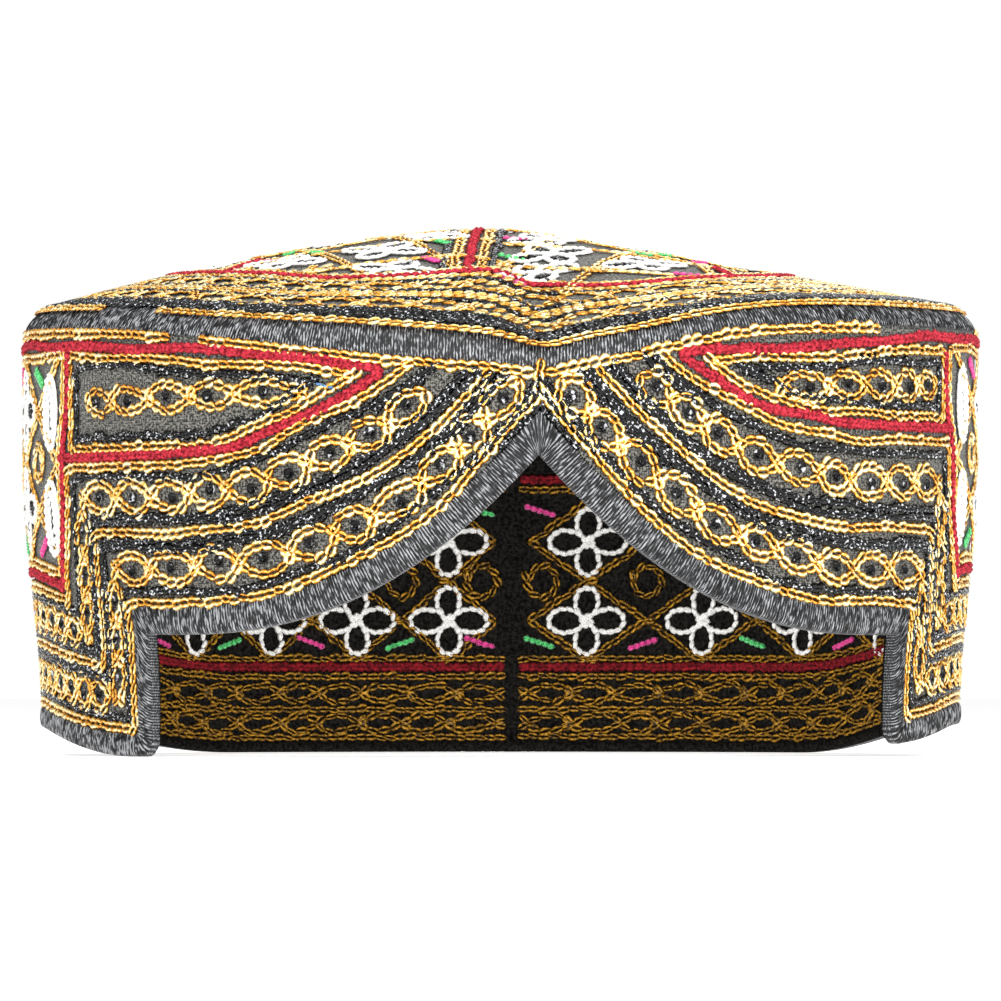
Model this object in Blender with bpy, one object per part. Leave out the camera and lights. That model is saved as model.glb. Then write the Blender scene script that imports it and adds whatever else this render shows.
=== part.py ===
"""A round, low-domed embroidered cap with a pointed arch cut out of its front.

The cap stands on its hem at z = 0, its front faces -Y and its middle is the origin. The wall is worked
out on a flat pattern: arc is the distance round the wall from the front centre and height is the distance
above the table, both in metres. wall_point() rolls a place on that pattern up into the cap.
"""

import math

import bpy

MM = 0.001

# Wall: an upright band, drawn in a little towards the hem.
BAND_RADIUS = 94.5 * MM
HEM_RADIUS = 90.2 * MM
TAPER_BOTTOM = 8 * MM
TAPER_TOP = 58 * MM
PATTERN_RADIUS = 93.5 * MM
CLOTH = 2.0 * MM
GAP = 0.3 * MM

# Front cut-out: a pointed arch between two straight legs.
LEG_ARC = math.radians(52.6) * PATTERN_RADIUS
ARCH_ARC = math.radians(48) * PATTERN_RADIUS
SPRING_HEIGHT = 23.5 * MM
ARCH_RISE = 34.1 * MM
ARCH_POWER = 2.6
LEG_CORNER = 3.5 * MM

# Hem: down at the left leg and the back, lifted a little at the sides and at the right leg.
# Columns: side (-1 left, 1 right), lift, then the azimuths where it begins, is full, fades and ends.
HEM_LIFTS = (
    (-1, 5.3 * MM, 56, 90, 108, 146),
    (1, 2.4 * MM, 20, 48, 100, 132),
    (1, 3.6 * MM, 52, 78, 100, 132),
)

# Rim: where the wall meets the rolled edge. It sags over the arch.
RIM_HEIGHT = 83.3 * MM
RIM_SAG = 8.6 * MM
RIM_SAG_SPREAD_LEFT = 40
RIM_SAG_SPREAD_RIGHT = 19
RIM_NICK = 0.8 * MM
RIM_NICK_SPREAD = 4

# Rolled edge: a satin-stitched ring over the shoulder.
ROLL_INNER_RADIUS = 88.7 * MM
ROLL_PADDING = 0.2 * MM
ROLL_THICKNESS = 2.8 * MM
ROLL_HEIGHT = 4.9 * MM
ROLL_FRONT_EXTRA = 2.7 * MM
ROLL_FRONT_AZIMUTH = -14
ROLL_FRONT_SPREAD = 20
ROLL_CREASE_LOSS = 1.2 * MM
ROLL_CREASE_SPREAD = 4
SHOULDER_POWER = 1.5
SHOULDER_STEPS = 6

# Crown: a low dome, steeper at its left edge, with a crease at the front.
APEX_HEIGHT = 104.8 * MM
APEX_ROUNDING = 5 * MM
DOME_POWER = 1.34
DOME_LEAN = 0.26
CREASE_DEPTH = 1.2 * MM
CREASE_SPREAD = 6
CREASE_INNER_SHARE = 0.5
CROWN_RING_SHARES = (0.12, 0.25, 0.38, 0.5, 0.61, 0.71, 0.8, 0.88, 0.95, 1.0)

# Binding: a padded satin strip round the whole lower edge.
BINDING_WIDTH = 5.8 * MM
LEG_BINDING_WIDTH = 4.2 * MM
HEM_BINDING_WIDTH = 4.6 * MM
BINDING_HALF_THICKNESS = 1.7 * MM
BINDING_FOOT_HALF_WIDTH = 1.0 * MM

# Back seam: an overcast join between the band's two ends, a little to the right of the back's middle.
SEAM_AZIMUTH = 174
SEAM_HALF_WIDTH = 2.5 * MM
SEAM_PROUD = 0.7 * MM

# Meshing: azimuths of the columns of the wall at one side of the front centre, in degrees.
FRONT_AZIMUTHS = (1.5, 3.5, 6, 9, 12, 16, 20, 25, 30, 35, 40, 45, 49.5)
SIDE_STEP = 5
BAND_ROWS = 6
LEG_ROWS = 3
ARCH_STEP = 4 * MM


def smooth_step(value, low, high):
    """0 below low, 1 above high, and an even S between them."""
    share = min(1, max(0, (value - low) / (high - low)))
    return share * share * (3 - 2 * share)


def bell(value, spread):
    """1 where value is 0, fading away over the spread."""
    return math.exp(-((value / spread) ** 2))


def azimuth_of(arc):
    """Degrees round the cap from its front centre, to the right positive."""
    return math.degrees(arc / PATTERN_RADIUS)


def arc_of(azimuth):
    """Distance along the flat pattern of the wall at an azimuth in degrees."""
    return math.radians(azimuth) * PATTERN_RADIUS


def hem_height(azimuth):
    """Height of the hem: 0 where the cap rests, and lifted at its sides."""
    height = 0
    for side, lift, begins, full, fades, ends in HEM_LIFTS:
        turn = side * azimuth
        height += lift * smooth_step(turn, begins, full) * (1 - smooth_step(turn, fades, ends))
    return height


def rim_height(azimuth):
    """Height of the top of the wall, which sags at the front."""
    spread = RIM_SAG_SPREAD_LEFT if azimuth < 0 else RIM_SAG_SPREAD_RIGHT
    return RIM_HEIGHT - RIM_SAG * bell(azimuth, spread) - RIM_NICK * bell(azimuth, RIM_NICK_SPREAD)


def roll_height(azimuth):
    """How far the rolled edge rises from the rim to the crown."""
    front = ROLL_FRONT_EXTRA * bell(azimuth - ROLL_FRONT_AZIMUTH, ROLL_FRONT_SPREAD)
    return ROLL_HEIGHT + front - ROLL_CREASE_LOSS * bell(azimuth, ROLL_CREASE_SPREAD)


def arch_height(arc):
    """Height of the arch's cut edge. A negative arc runs on past the point, for mitred offsets."""
    share = max(0, 1 - arc / ARCH_ARC)
    return SPRING_HEIGHT + ARCH_RISE * share ** ARCH_POWER


def arch_normal(arc):
    """Unit normal of the arch's right half, into the cloth, as (along arc, up)."""
    share = max(0, 1 - arc / ARCH_ARC)
    slope = -ARCH_RISE * ARCH_POWER / ARCH_ARC * share ** (ARCH_POWER - 1)
    length = math.hypot(1, slope)
    return -slope / length, 1 / length


def arch_offset_height(arc, offset):
    """Height at an arc of the line that runs at an offset above the arch's cut edge."""
    low, high = abs(arc) - offset, abs(arc)
    for _ in range(30):
        middle = (low + high) / 2
        if middle + offset * arch_normal(middle)[0] < abs(arc):
            low = middle
        else:
            high = middle
    return arch_height(low) + offset * arch_normal(low)[1]


def wall_radius(height):
    """Radius of the wall's outer face at a height."""
    return HEM_RADIUS + (BAND_RADIUS - HEM_RADIUS) * smooth_step(height, TAPER_BOTTOM, TAPER_TOP)


def polar(azimuth, radius, height):
    """A point of the cap from its azimuth in degrees, its radius and its height."""
    angle = math.radians(azimuth)
    return radius * math.sin(angle), -radius * math.cos(angle), height


def wall_point(arc, height, depth):
    """Rolls a place on the flat pattern up into the cap. Depth is measured in from the outer face."""
    return polar(azimuth_of(arc), wall_radius(height) - depth, height)


def crown_height(radius, azimuth):
    """Height of the crown's upper face."""
    edge = rim_height(azimuth) + roll_height(azimuth)
    power = DOME_POWER - DOME_LEAN * math.sin(math.radians(azimuth))
    reach = math.hypot(ROLL_INNER_RADIUS, APEX_ROUNDING) - APEX_ROUNDING
    share = (math.hypot(radius, APEX_ROUNDING) - APEX_ROUNDING) / reach
    outer_share = max(0, (radius / ROLL_INNER_RADIUS - CREASE_INNER_SHARE) / (1 - CREASE_INNER_SHARE))
    crease = CREASE_DEPTH * bell(azimuth, CREASE_SPREAD) * math.sin(math.pi * outer_share)
    return edge + (APEX_HEIGHT - edge) * (1 - share ** power) - crease


def side_azimuths(first, last):
    """Evenly spaced azimuths from first to last, about SIDE_STEP apart."""
    count = round((last - first) / SIDE_STEP)
    return [first + (last - first) * i / count for i in range(count + 1)]


def ring_azimuths():
    """The columns of a whole ring, close together at the front crease."""
    half = list(FRONT_AZIMUTHS) + side_azimuths(FRONT_AZIMUTHS[-1], 180)[1:-1]
    return [-a for a in reversed(half)] + [0] + half + [180]


def make_object(name, points, faces, colour, roughness):
    """One sub-part: its mesh, shaded smooth with sharp folds, and its own material."""
    mesh = bpy.data.meshes.new(name)
    mesh.from_pydata(points, [], faces)
    mesh.validate()
    mesh.shade_smooth()
    mesh.set_sharp_from_angle(angle=math.radians(40))
    material = bpy.data.materials.new(name)
    material.use_nodes = True
    shader = material.node_tree.nodes["Principled BSDF"]
    shader.inputs["Base Color"].default_value = (*colour, 1)
    shader.inputs["Roughness"].default_value = roughness
    shader.inputs["Metallic"].default_value = 0
    mesh.materials.append(material)
    piece = bpy.data.objects.new(name, mesh)
    bpy.context.scene.collection.objects.link(piece)
    return piece


def thick_sheet(cells, front, back):
    """Faces of a sheet with a thickness. Cells name their corners, front and back give each corner's
    two points, and every open edge of the sheet is closed from front to back."""
    corners = sorted({corner for cell in cells for corner in cell})
    index = {corner: i for i, corner in enumerate(corners)}
    count = len(corners)
    points = [front(corner) for corner in corners] + [back(corner) for corner in corners]
    edges = {(cell[i], cell[(i + 1) % len(cell)]) for cell in cells for i in range(len(cell))}
    faces = [[index[corner] for corner in cell] for cell in cells]
    faces += [[index[corner] + count for corner in reversed(cell)] for cell in cells]
    for a, b in sorted(edges):
        if (b, a) not in edges:
            faces.append([index[b], index[a], index[a] + count, index[b] + count])
    return points, faces


def swept_ring(sections):
    """Faces of a closed ring through sections that all have the same number of points."""
    size = len(sections[0])
    points = [point for section in sections for point in section]
    faces = []
    for i in range(len(sections)):
        j = (i + 1) % len(sections)
        for k in range(size):
            m = (k + 1) % size
            faces.append([i * size + k, j * size + k, j * size + m, i * size + m])
    return points, faces


def make_side_band():
    """The wall: a C-shaped strip with the arch cut out, from the binding up to the rolled edge."""
    leg_arc = LEG_ARC + LEG_BINDING_WIDTH + GAP
    seam_room = SEAM_HALF_WIDTH + GAP
    leg_top = SPRING_HEIGHT + BINDING_WIDTH + GAP
    front = [arc_of(a) for a in FRONT_AZIMUTHS]
    right_end = azimuth_of(arc_of(SEAM_AZIMUTH) - seam_room)
    left_end = azimuth_of(arc_of(360 - SEAM_AZIMUTH) - seam_room)
    right = front + [arc_of(a) for a in side_azimuths(azimuth_of(leg_arc), right_end)]
    left = front + [arc_of(a) for a in side_azimuths(azimuth_of(leg_arc), left_end)]
    arcs = [-a for a in reversed(left)] + [0] + right

    def height(corner):
        column, row = corner
        arc = arcs[column]
        azimuth = azimuth_of(arc)
        if row < 0:
            low = hem_height(azimuth) + HEM_BINDING_WIDTH + GAP
            return low + (leg_top - low) * (row + LEG_ROWS) / LEG_ROWS
        low = leg_top if abs(arc) > LEG_ARC else arch_offset_height(arc, BINDING_WIDTH + GAP)
        high = rim_height(azimuth) - GAP
        return low + (high - low) * row / BAND_ROWS

    def outer(corner):
        return wall_point(arcs[corner[0]], height(corner), 0)

    def inner(corner):
        return wall_point(arcs[corner[0]], height(corner), CLOTH)

    cells = []
    for column in range(len(arcs) - 1):
        beside_arch = min(abs(arcs[column]), abs(arcs[column + 1])) < LEG_ARC
        for row in range(0 if beside_arch else -LEG_ROWS, BAND_ROWS):
            cells.append(((column, row), (column + 1, row), (column + 1, row + 1), (column, row + 1)))
    points, faces = thick_sheet(cells, outer, inner)
    return make_object("side_band", points, faces, (0.05, 0.05, 0.052), 0.85)


def arch_stations():
    """The binding's path from the arch's point to the leg: places at its cut edge and its upper edge."""
    right = []
    steps = round(ARCH_ARC / ARCH_STEP)
    for i in range(1, steps + 1):
        arc = ARCH_ARC * i / steps
        across, up = arch_normal(arc)
        edge = (arc, arch_height(arc))
        right.append((edge, (arc + BINDING_WIDTH * across, edge[1] + BINDING_WIDTH * up)))
    leg_inner = LEG_ARC + LEG_BINDING_WIDTH
    right.append(((LEG_ARC, SPRING_HEIGHT), (leg_inner, SPRING_HEIGHT + BINDING_WIDTH)))
    return right


def leg_stations(side):
    """The part of the binding's path that goes down a leg and back along the hem, on one side."""
    foot = hem_height(side * azimuth_of(LEG_ARC))
    leg_inner = LEG_ARC + LEG_BINDING_WIDTH
    top = foot + HEM_BINDING_WIDTH
    edge_drop = SPRING_HEIGHT - foot - LEG_CORNER
    inner_drop = SPRING_HEIGHT + BINDING_WIDTH - top - GAP
    stations = []
    for share in (1 / 3, 2 / 3):
        edge = (LEG_ARC, SPRING_HEIGHT - edge_drop * share)
        stations.append((edge, (leg_inner, SPRING_HEIGHT + BINDING_WIDTH - inner_drop * share)))
    for angle in (0, 30, 60, 90):
        turn = math.radians(angle)
        away, up = LEG_CORNER * (1 - math.cos(turn)), LEG_CORNER * (1 - math.sin(turn))
        inner = (leg_inner + GAP * (1 - math.cos(turn)), top + GAP * (1 - math.sin(turn)))
        stations.append(((LEG_ARC + away, foot + up), inner))
    for azimuth in side_azimuths(azimuth_of(leg_inner + 2 * GAP) + SIDE_STEP / 2, 180 - SIDE_STEP / 2):
        arc = arc_of(azimuth)
        foot = hem_height(side * azimuth)
        stations.append(((arc, foot), (arc, foot + HEM_BINDING_WIDTH)))
    return stations


def make_edge_binding():
    """The padded satin strip round the arch, down both legs and along the hem."""
    point_slope = math.hypot(1, ARCH_RISE * ARCH_POWER / ARCH_ARC)
    apex = SPRING_HEIGHT + ARCH_RISE
    path = [((0, apex), (0, apex + BINDING_WIDTH * point_slope))]
    arch = arch_stations()
    path += arch + leg_stations(1)
    left = [((-e[0], e[1]), (-u[0], u[1])) for e, u in arch + leg_stations(-1)]
    path += reversed(left)

    full, foot = BINDING_HALF_THICKNESS, BINDING_FOOT_HALF_WIDTH
    profile = [(0, foot), (0.2, full), (0.8, full), (1, foot), (1, -foot), (0.8, -full), (0.2, -full), (0, -foot)]
    sections = []
    for edge, upper in path:
        section = []
        for share, proud in profile:
            arc = edge[0] + (upper[0] - edge[0]) * share
            height = edge[1] + (upper[1] - edge[1]) * share
            section.append(wall_point(arc, height, CLOTH / 2 - proud))
        sections.append(section)
    points, faces = swept_ring(sections)
    return make_object("edge_binding", points, faces, (0.035, 0.035, 0.038), 0.6)


def make_crown_edge_roll():
    """The satin ring: it rises from the rim, rounds the shoulder and meets the crown."""
    sections = []
    for azimuth in ring_azimuths():
        rim = rim_height(azimuth)
        rise = roll_height(azimuth)
        reach = BAND_RADIUS + ROLL_PADDING - ROLL_INNER_RADIUS
        section = [(BAND_RADIUS - ROLL_THICKNESS, rim)]
        for i in range(SHOULDER_STEPS + 1):
            turn = math.pi / 2 * i / SHOULDER_STEPS
            out = max(0, math.cos(turn)) ** (2 / SHOULDER_POWER)
            up = math.sin(turn) ** (2 / SHOULDER_POWER)
            section.append((ROLL_INNER_RADIUS + reach * out, rim + rise * up))
        section.append((ROLL_INNER_RADIUS, rim + rise - ROLL_THICKNESS))
        sections.append([polar(azimuth, radius, height) for radius, height in section])
    points, faces = swept_ring(sections)
    return make_object("crown_edge_roll", points, faces, (0.035, 0.035, 0.038), 0.6)


def make_crown():
    """The domed top disc, from its middle out to the rolled edge."""
    azimuths = ring_azimuths()
    columns = len(azimuths)
    outer_radius = ROLL_INNER_RADIUS - GAP

    def place(corner, depth):
        ring, column = corner
        radius = outer_radius * CROWN_RING_SHARES[ring - 1] if ring else 0
        azimuth = azimuths[column]
        return polar(azimuth, radius, crown_height(radius, azimuth) - depth)

    cells = []
    for column in range(columns):
        after = (column + 1) % columns
        cells.append(((0, 0), (1, column), (1, after)))
        for ring in range(1, len(CROWN_RING_SHARES)):
            cells.append(((ring, column), (ring + 1, column), (ring + 1, after), (ring, after)))
    points, faces = thick_sheet(cells, lambda corner: place(corner, 0), lambda corner: place(corner, CLOTH))
    return make_object("crown", points, faces, (0.05, 0.05, 0.052), 0.85)


def make_back_seam():
    """The overcast join that fills the gap between the band's ends at the back."""
    low = hem_height(SEAM_AZIMUTH) + HEM_BINDING_WIDTH + GAP
    high = rim_height(SEAM_AZIMUTH) - GAP
    across = (-1, -0.4, 0.4, 1)

    def place(corner, face):
        column, row = corner
        arc = arc_of(SEAM_AZIMUTH) + SEAM_HALF_WIDTH * across[column]
        proud = SEAM_PROUD if column in (1, 2) else 0
        depth = CLOTH / 2 + face * (CLOTH / 2 + proud)
        return wall_point(arc, low + (high - low) * row / BAND_ROWS, depth)

    cells = []
    for column in range(len(across) - 1):
        for row in range(BAND_ROWS):
            cells.append(((column, row), (column + 1, row), (column + 1, row + 1), (column, row + 1)))
    points, faces = thick_sheet(cells, lambda corner: place(corner, -1), lambda corner: place(corner, 1))
    return make_object("back_seam", points, faces, (0.03, 0.03, 0.032), 0.8)


for old in list(bpy.data.objects):
    bpy.data.objects.remove(old)

make_crown()
make_crown_edge_roll()
make_side_band()
make_edge_binding()
make_back_seam()
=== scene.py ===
import bisect
import math
import random

import bpy
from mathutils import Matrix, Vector


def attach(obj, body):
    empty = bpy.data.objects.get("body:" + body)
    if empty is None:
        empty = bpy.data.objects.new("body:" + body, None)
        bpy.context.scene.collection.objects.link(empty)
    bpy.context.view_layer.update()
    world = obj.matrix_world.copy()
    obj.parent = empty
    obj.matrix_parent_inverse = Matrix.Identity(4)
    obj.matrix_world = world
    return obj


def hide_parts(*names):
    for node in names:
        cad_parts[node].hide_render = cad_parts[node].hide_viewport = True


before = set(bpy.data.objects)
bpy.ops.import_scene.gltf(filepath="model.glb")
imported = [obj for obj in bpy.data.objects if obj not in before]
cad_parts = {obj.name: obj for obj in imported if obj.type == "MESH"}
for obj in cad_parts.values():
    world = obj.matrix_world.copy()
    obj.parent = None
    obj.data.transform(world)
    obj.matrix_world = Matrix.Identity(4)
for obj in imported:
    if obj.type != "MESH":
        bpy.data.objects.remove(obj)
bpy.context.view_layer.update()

MM = 0.001

# Camera: it looks at the cap's front from a little to its left and from just above the surface that the
# cap stands on, tilted up so that the cap sits where the photograph has it.
PICTURE_WIDTH = 1001
HORIZON_ROW = 679
FOCAL_LENGTH_IN_PIXELS = 10950
CAMERA_DISTANCE = 2.170
CAMERA_AZIMUTH = math.radians(-4.5)
CAMERA_HEIGHT = 15 * MM
SENSOR_WIDTH = 36


def new_object(name, data):
    """An object in the scene, at the origin."""
    thing = bpy.data.objects.new(name, data)
    bpy.context.scene.collection.objects.link(thing)
    return thing


camera_data = bpy.data.cameras.new("camera")
camera_data.sensor_width = SENSOR_WIDTH
camera_data.lens = SENSOR_WIDTH * FOCAL_LENGTH_IN_PIXELS / PICTURE_WIDTH
camera_data.clip_start = 0.05
camera_data.clip_end = 50
camera = new_object("camera", camera_data)
camera.location = (CAMERA_DISTANCE * math.sin(CAMERA_AZIMUTH),
                   -CAMERA_DISTANCE * math.cos(CAMERA_AZIMUTH), CAMERA_HEIGHT)
pitch = math.atan((HORIZON_ROW - PICTURE_WIDTH / 2) / FOCAL_LENGTH_IN_PIXELS)
camera.rotation_euler = (math.pi / 2 + pitch, 0, CAMERA_AZIMUTH)
bpy.context.scene.camera = camera

# Floor and light: a plain white table under a white sky. Soft panels of light stand in front, at one
# side, above and behind, so that the metal thread glints and the black thread stays black. A small weak
# one inside the cap shows the rows on the wall's inner face.
FLOOR_SIZE = 12.0
FLOOR_WHITE = 0.93
FLOOR_GLOW = 0.62
SKY_SEEN = 1.0
SKY_LIGHT = 0.36
AIM_HEIGHT = 50 * MM
# Columns: name, azimuth and elevation in degrees, distance, width and height in metres, watts.
LIGHTS = (
    ("key_light", -16, 40, 1.6, 0.9, 0.7, 14),
    ("side_light", 58, 24, 1.5, 0.5, 0.8, 8),
    ("low_light", -6, 5, 1.7, 0.9, 0.3, 6),
    ("top_light", -5, 74, 1.5, 1.2, 1.2, 13),
    ("back_light", 165, 38, 1.6, 0.9, 0.7, 5),
    ("inside_light", 0, -20, 0.045, 0.09, 0.025, 0.09),
)


def add_node(tree, kind, inputs=(), **settings):
    """Adds a node. Inputs pairs a socket's name or number with a value, with another node's output, or
    with the node itself, which stands for its Fac output or else its first."""
    node = tree.nodes.new(kind)
    for name, value in settings.items():
        setattr(node, name, value)
    for key, value in dict(inputs).items():
        if isinstance(value, bpy.types.Node):
            value = value.outputs.get("Fac", value.outputs[0])
        if isinstance(value, bpy.types.NodeSocket):
            tree.links.new(value, node.inputs[key])
        else:
            node.inputs[key].default_value = value
    return node


def new_material(name, constants):
    """A named material, its node tree and its shader, with constants set on the shader's own sockets."""
    material = bpy.data.materials.new(name)
    material.use_nodes = True
    shader = material.node_tree.nodes["Principled BSDF"]
    for socket, value in constants.items():
        shader.inputs[socket].default_value = value
    return material, material.node_tree, shader


world = bpy.data.worlds.new("white_sky")
world.use_nodes = True
bpy.context.scene.world = world
world.node_tree.nodes.clear()
rays = add_node(world.node_tree, "ShaderNodeLightPath")
strength = add_node(world.node_tree, "ShaderNodeMapRange",
                    {"Value": rays.outputs["Is Camera Ray"], "To Min": SKY_LIGHT, "To Max": SKY_SEEN})
sky = add_node(world.node_tree, "ShaderNodeBackground", {"Color": (1, 1, 1, 1), "Strength": strength})
add_node(world.node_tree, "ShaderNodeOutputWorld", {"Surface": sky})

for name, azimuth, elevation, distance, width, height, watts in LIGHTS:
    panel = bpy.data.lights.new(name, "AREA")
    panel.shape = "RECTANGLE"
    panel.size, panel.size_y = width, height
    panel.energy = watts
    light = new_object(name, panel)
    around, up = math.radians(azimuth), math.radians(elevation)
    away = Vector((math.sin(around) * math.cos(up), -math.cos(around) * math.cos(up), math.sin(up)))
    light.location = away * distance + Vector((0, 0, AIM_HEIGHT))
    light.rotation_euler = away.to_track_quat("Z", "Y").to_euler()

# White laminate: smooth and evenly white, with a glow of its own that lets no shadow grey it.
laminate = new_material("white_laminate", {
    "Base Color": (FLOOR_WHITE, FLOOR_WHITE, FLOOR_WHITE, 1), "Emission Color": (1, 1, 1, 1),
    "Emission Strength": FLOOR_GLOW, "Roughness": 0.7})[0]
floor_mesh = bpy.data.meshes.new("table_top")
half = FLOOR_SIZE / 2
floor_mesh.from_pydata([(-half, -half, 0), (half, -half, 0), (half, half, 0), (-half, half, 0)], [],
                       [(0, 1, 2, 3)])
floor_mesh.materials.append(laminate)
new_object("table_top", floor_mesh)
bpy.context.scene.view_settings.view_transform = "Standard"

# Crown: a low dome of stiffened black cotton, one round piece pressed to shape, with a crease over the
# middle of the front. It is cut a little larger than its hole and held by the satin ring round its edge.
BAND_RADIUS = 93.9 * MM
RIM_HEIGHT = 83.3 * MM
RIM_SAG = 8.6 * MM
RIM_SAG_SPREADS = {-1: 40, 1: 19}
ROLL_INNER_RADIUS = 88.7 * MM
ROLL_HEIGHT = 4.9 * MM
# Local swellings and dips. Columns: size, azimuth of the middle, spread in degrees.
RIM_NICK = (0.8 * MM, 0, 4)
ROLL_FRONT_EXTRA = (2.7 * MM, -14, 20)
ROLL_CREASE_LOSS = (1.2 * MM, 0, 4)
CREASE = (1.2 * MM, 0, 6)
CREASE_INNER_SHARE = 0.5
CREASE_POWER = 1.8
APEX_HEIGHT = 103.5 * MM
APEX_ROUNDING = 5 * MM
DOME_POWER = 1.27
DOME_LEAN = 0.26
CLOTH = 2.0 * MM
CROWN_RINGS = 34
CROWN_COLUMNS = 160
CROWN_TUCK = 1.2 * MM
YARN_PITCH = 0.45 * MM
# The scale at which a wave texture repeats once in a metre.
ONE_WAVE = math.pi / 10
SLUB = MM / 1.9
WORN_PATCH = MM / 0.09


def bell(azimuth, size, middle, spread):
    """A swelling of a size at its middle azimuth, which fades away over its spread."""
    return size * math.exp(-(((azimuth - middle) / spread) ** 2))


def rim_height(azimuth):
    """Height of the top of the wall, which sags at the front."""
    sag = bell(azimuth, RIM_SAG, 0, RIM_SAG_SPREADS[-1 if azimuth < 0 else 1])
    return RIM_HEIGHT - sag - bell(azimuth, *RIM_NICK)


def roll_height(azimuth):
    """How far the satin ring rises from the rim to the crown."""
    return ROLL_HEIGHT + bell(azimuth, *ROLL_FRONT_EXTRA) - bell(azimuth, *ROLL_CREASE_LOSS)


def polar(azimuth, radius, height):
    """A point of the cap from its azimuth in degrees, its radius and its height."""
    angle = math.radians(azimuth)
    return Vector((radius * math.sin(angle), -radius * math.cos(angle), height))


def crown_height(radius, azimuth):
    """Height of the crown's upper face."""
    edge = rim_height(azimuth) + roll_height(azimuth)
    power = DOME_POWER - DOME_LEAN * math.sin(math.radians(azimuth))
    reach = math.hypot(ROLL_INNER_RADIUS, APEX_ROUNDING) - APEX_ROUNDING
    share = (math.hypot(radius, APEX_ROUNDING) - APEX_ROUNDING) / reach
    outer = max(0, (radius / ROLL_INNER_RADIUS - CREASE_INNER_SHARE) / (1 - CREASE_INNER_SHARE))
    crease = bell(azimuth, *CREASE) * math.sin(math.pi * min(1, outer ** CREASE_POWER))
    return edge + (APEX_HEIGHT - edge) * (1 - share ** power) - crease


def turn_within(azimuth):
    """The same azimuth, from -180 to 180."""
    return (azimuth + 180) % 360 - 180


def colour(code):
    """Linear red, green, blue and alpha of an sRGB hex colour."""
    channels = [int(code[i:i + 2], 16) / 255 for i in (1, 3, 5)]
    return (*[c / 12.92 if c <= 0.04045 else ((c + 0.055) / 1.055) ** 2.4 for c in channels], 1)


def tint(tree, shader, shade, stops, relief, strength, depth):
    """Colours a shader by a value, through stops from dark to light, and raises it where relief is high."""
    ramp = add_node(tree, "ShaderNodeValToRGB", {"Fac": shade})
    elements = ramp.color_ramp.elements
    for i, (position, code) in enumerate((stops[0], stops[-1])):
        elements[i].position = position
        elements[i].color = colour(code)
    for position, code in stops[1:-1]:
        elements.new(position).color = colour(code)
    tree.links.new(ramp.outputs["Color"], shader.inputs["Base Color"])
    if strength:
        bump = add_node(tree, "ShaderNodeBump", {"Height": relief, "Strength": strength, "Distance": depth})
        tree.links.new(bump.outputs["Normal"], shader.inputs["Normal"])
    return ramp


def new_piece(name, slot, points, faces, materials, uv=None, node=None, shaded_faces=()):
    """A smooth piece with a UV map in metres, a slot that is not used, the node it stands for, and the
    numbers of the faces that show its second material."""
    mesh = bpy.data.meshes.new(name)
    mesh.from_pydata(points, [], faces)
    mesh.shade_smooth()
    if uv:
        layer = mesh.uv_layers.new(name="surface")
        for loop in mesh.loops:
            layer.data[loop.index].uv = uv[loop.vertex_index]
    for material in materials:
        mesh.materials.append(material)
    # The second material is the black with painted shade.
    for i in shaded_faces:
        mesh.polygons[i].material_index = 1
    piece = new_object(name, mesh)
    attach(piece, "root")
    if node:
        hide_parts(node)
    return piece


# Black cotton poplin, plain woven and starched: a matt charcoal with a fine grain and faint slubs.
# The yarns are 0.3 mm apart on the real cloth and are drawn 0.45 mm apart, or they would not show.
cotton, tree, shader = new_material("black_cotton_poplin", {
    "Roughness": 0.9, "Specular IOR Level": 0.25, "Sheen Weight": 0.15})
place = add_node(tree, "ShaderNodeUVMap", uv_map="surface")
warp, weft = [add_node(tree, "ShaderNodeTexWave", {"Vector": place, "Scale": ONE_WAVE / YARN_PITCH,
                                                   "Distortion": 6, "Detail": 2}, bands_direction=way)
              for way in "XY"]
weave = add_node(tree, "ShaderNodeMath", {0: warp, 1: weft}, operation="MULTIPLY")
grain = add_node(tree, "ShaderNodeTexNoise", {"Vector": place, "Scale": 1 / SLUB, "Detail": 2})
patches = add_node(tree, "ShaderNodeTexNoise", {"Vector": place, "Scale": 1 / WORN_PATCH, "Detail": 4})
speckle = add_node(tree, "ShaderNodeMath", {0: weave, 1: 0.15, 2: grain}, operation="MULTIPLY_ADD")
shades = tint(tree, shader, speckle, ((0.46, "#0a0a0a"), (0.68, "#8e8c84")), speckle, 0.5, 0.1 * MM)
worn = add_node(tree, "ShaderNodeMath", {0: patches, 1: 0.3}, operation="MULTIPLY")
fade = add_node(tree, "ShaderNodeMix", {"Factor": worn, 6: shades, 7: colour("#4a4a45")}, data_type="RGBA")
tree.links.new(fade.outputs[2], shader.inputs["Base Color"])


def thick_sheet(cells, front, back, flat):
    """Points, faces and flat positions of a sheet with a thickness, closed along its open edges."""
    corners = sorted({corner for cell in cells for corner in cell})
    index = {corner: i for i, corner in enumerate(corners)}
    count = len(corners)
    edges = {(cell[i], cell[(i + 1) % len(cell)]) for cell in cells for i in range(len(cell))}
    faces = [[index[corner] for corner in cell] for cell in cells]
    faces += [[index[corner] + count for corner in reversed(cell)] for cell in cells]
    faces += [[index[b], index[a], index[a] + count, index[b] + count]
              for a, b in sorted(edges) if (b, a) not in edges]
    return [*map(front, corners), *map(back, corners)], faces, [*map(flat, corners)] * 2


def crown_corner(corner, depth=0):
    """A corner of the crown's mesh, at a depth under its upper face."""
    ring, column = corner
    radius = (ROLL_INNER_RADIUS + CROWN_TUCK) * ring / CROWN_RINGS
    azimuth = turn_within(360 * column / CROWN_COLUMNS)
    return polar(azimuth, radius, crown_height(radius, azimuth) - depth)


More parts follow.
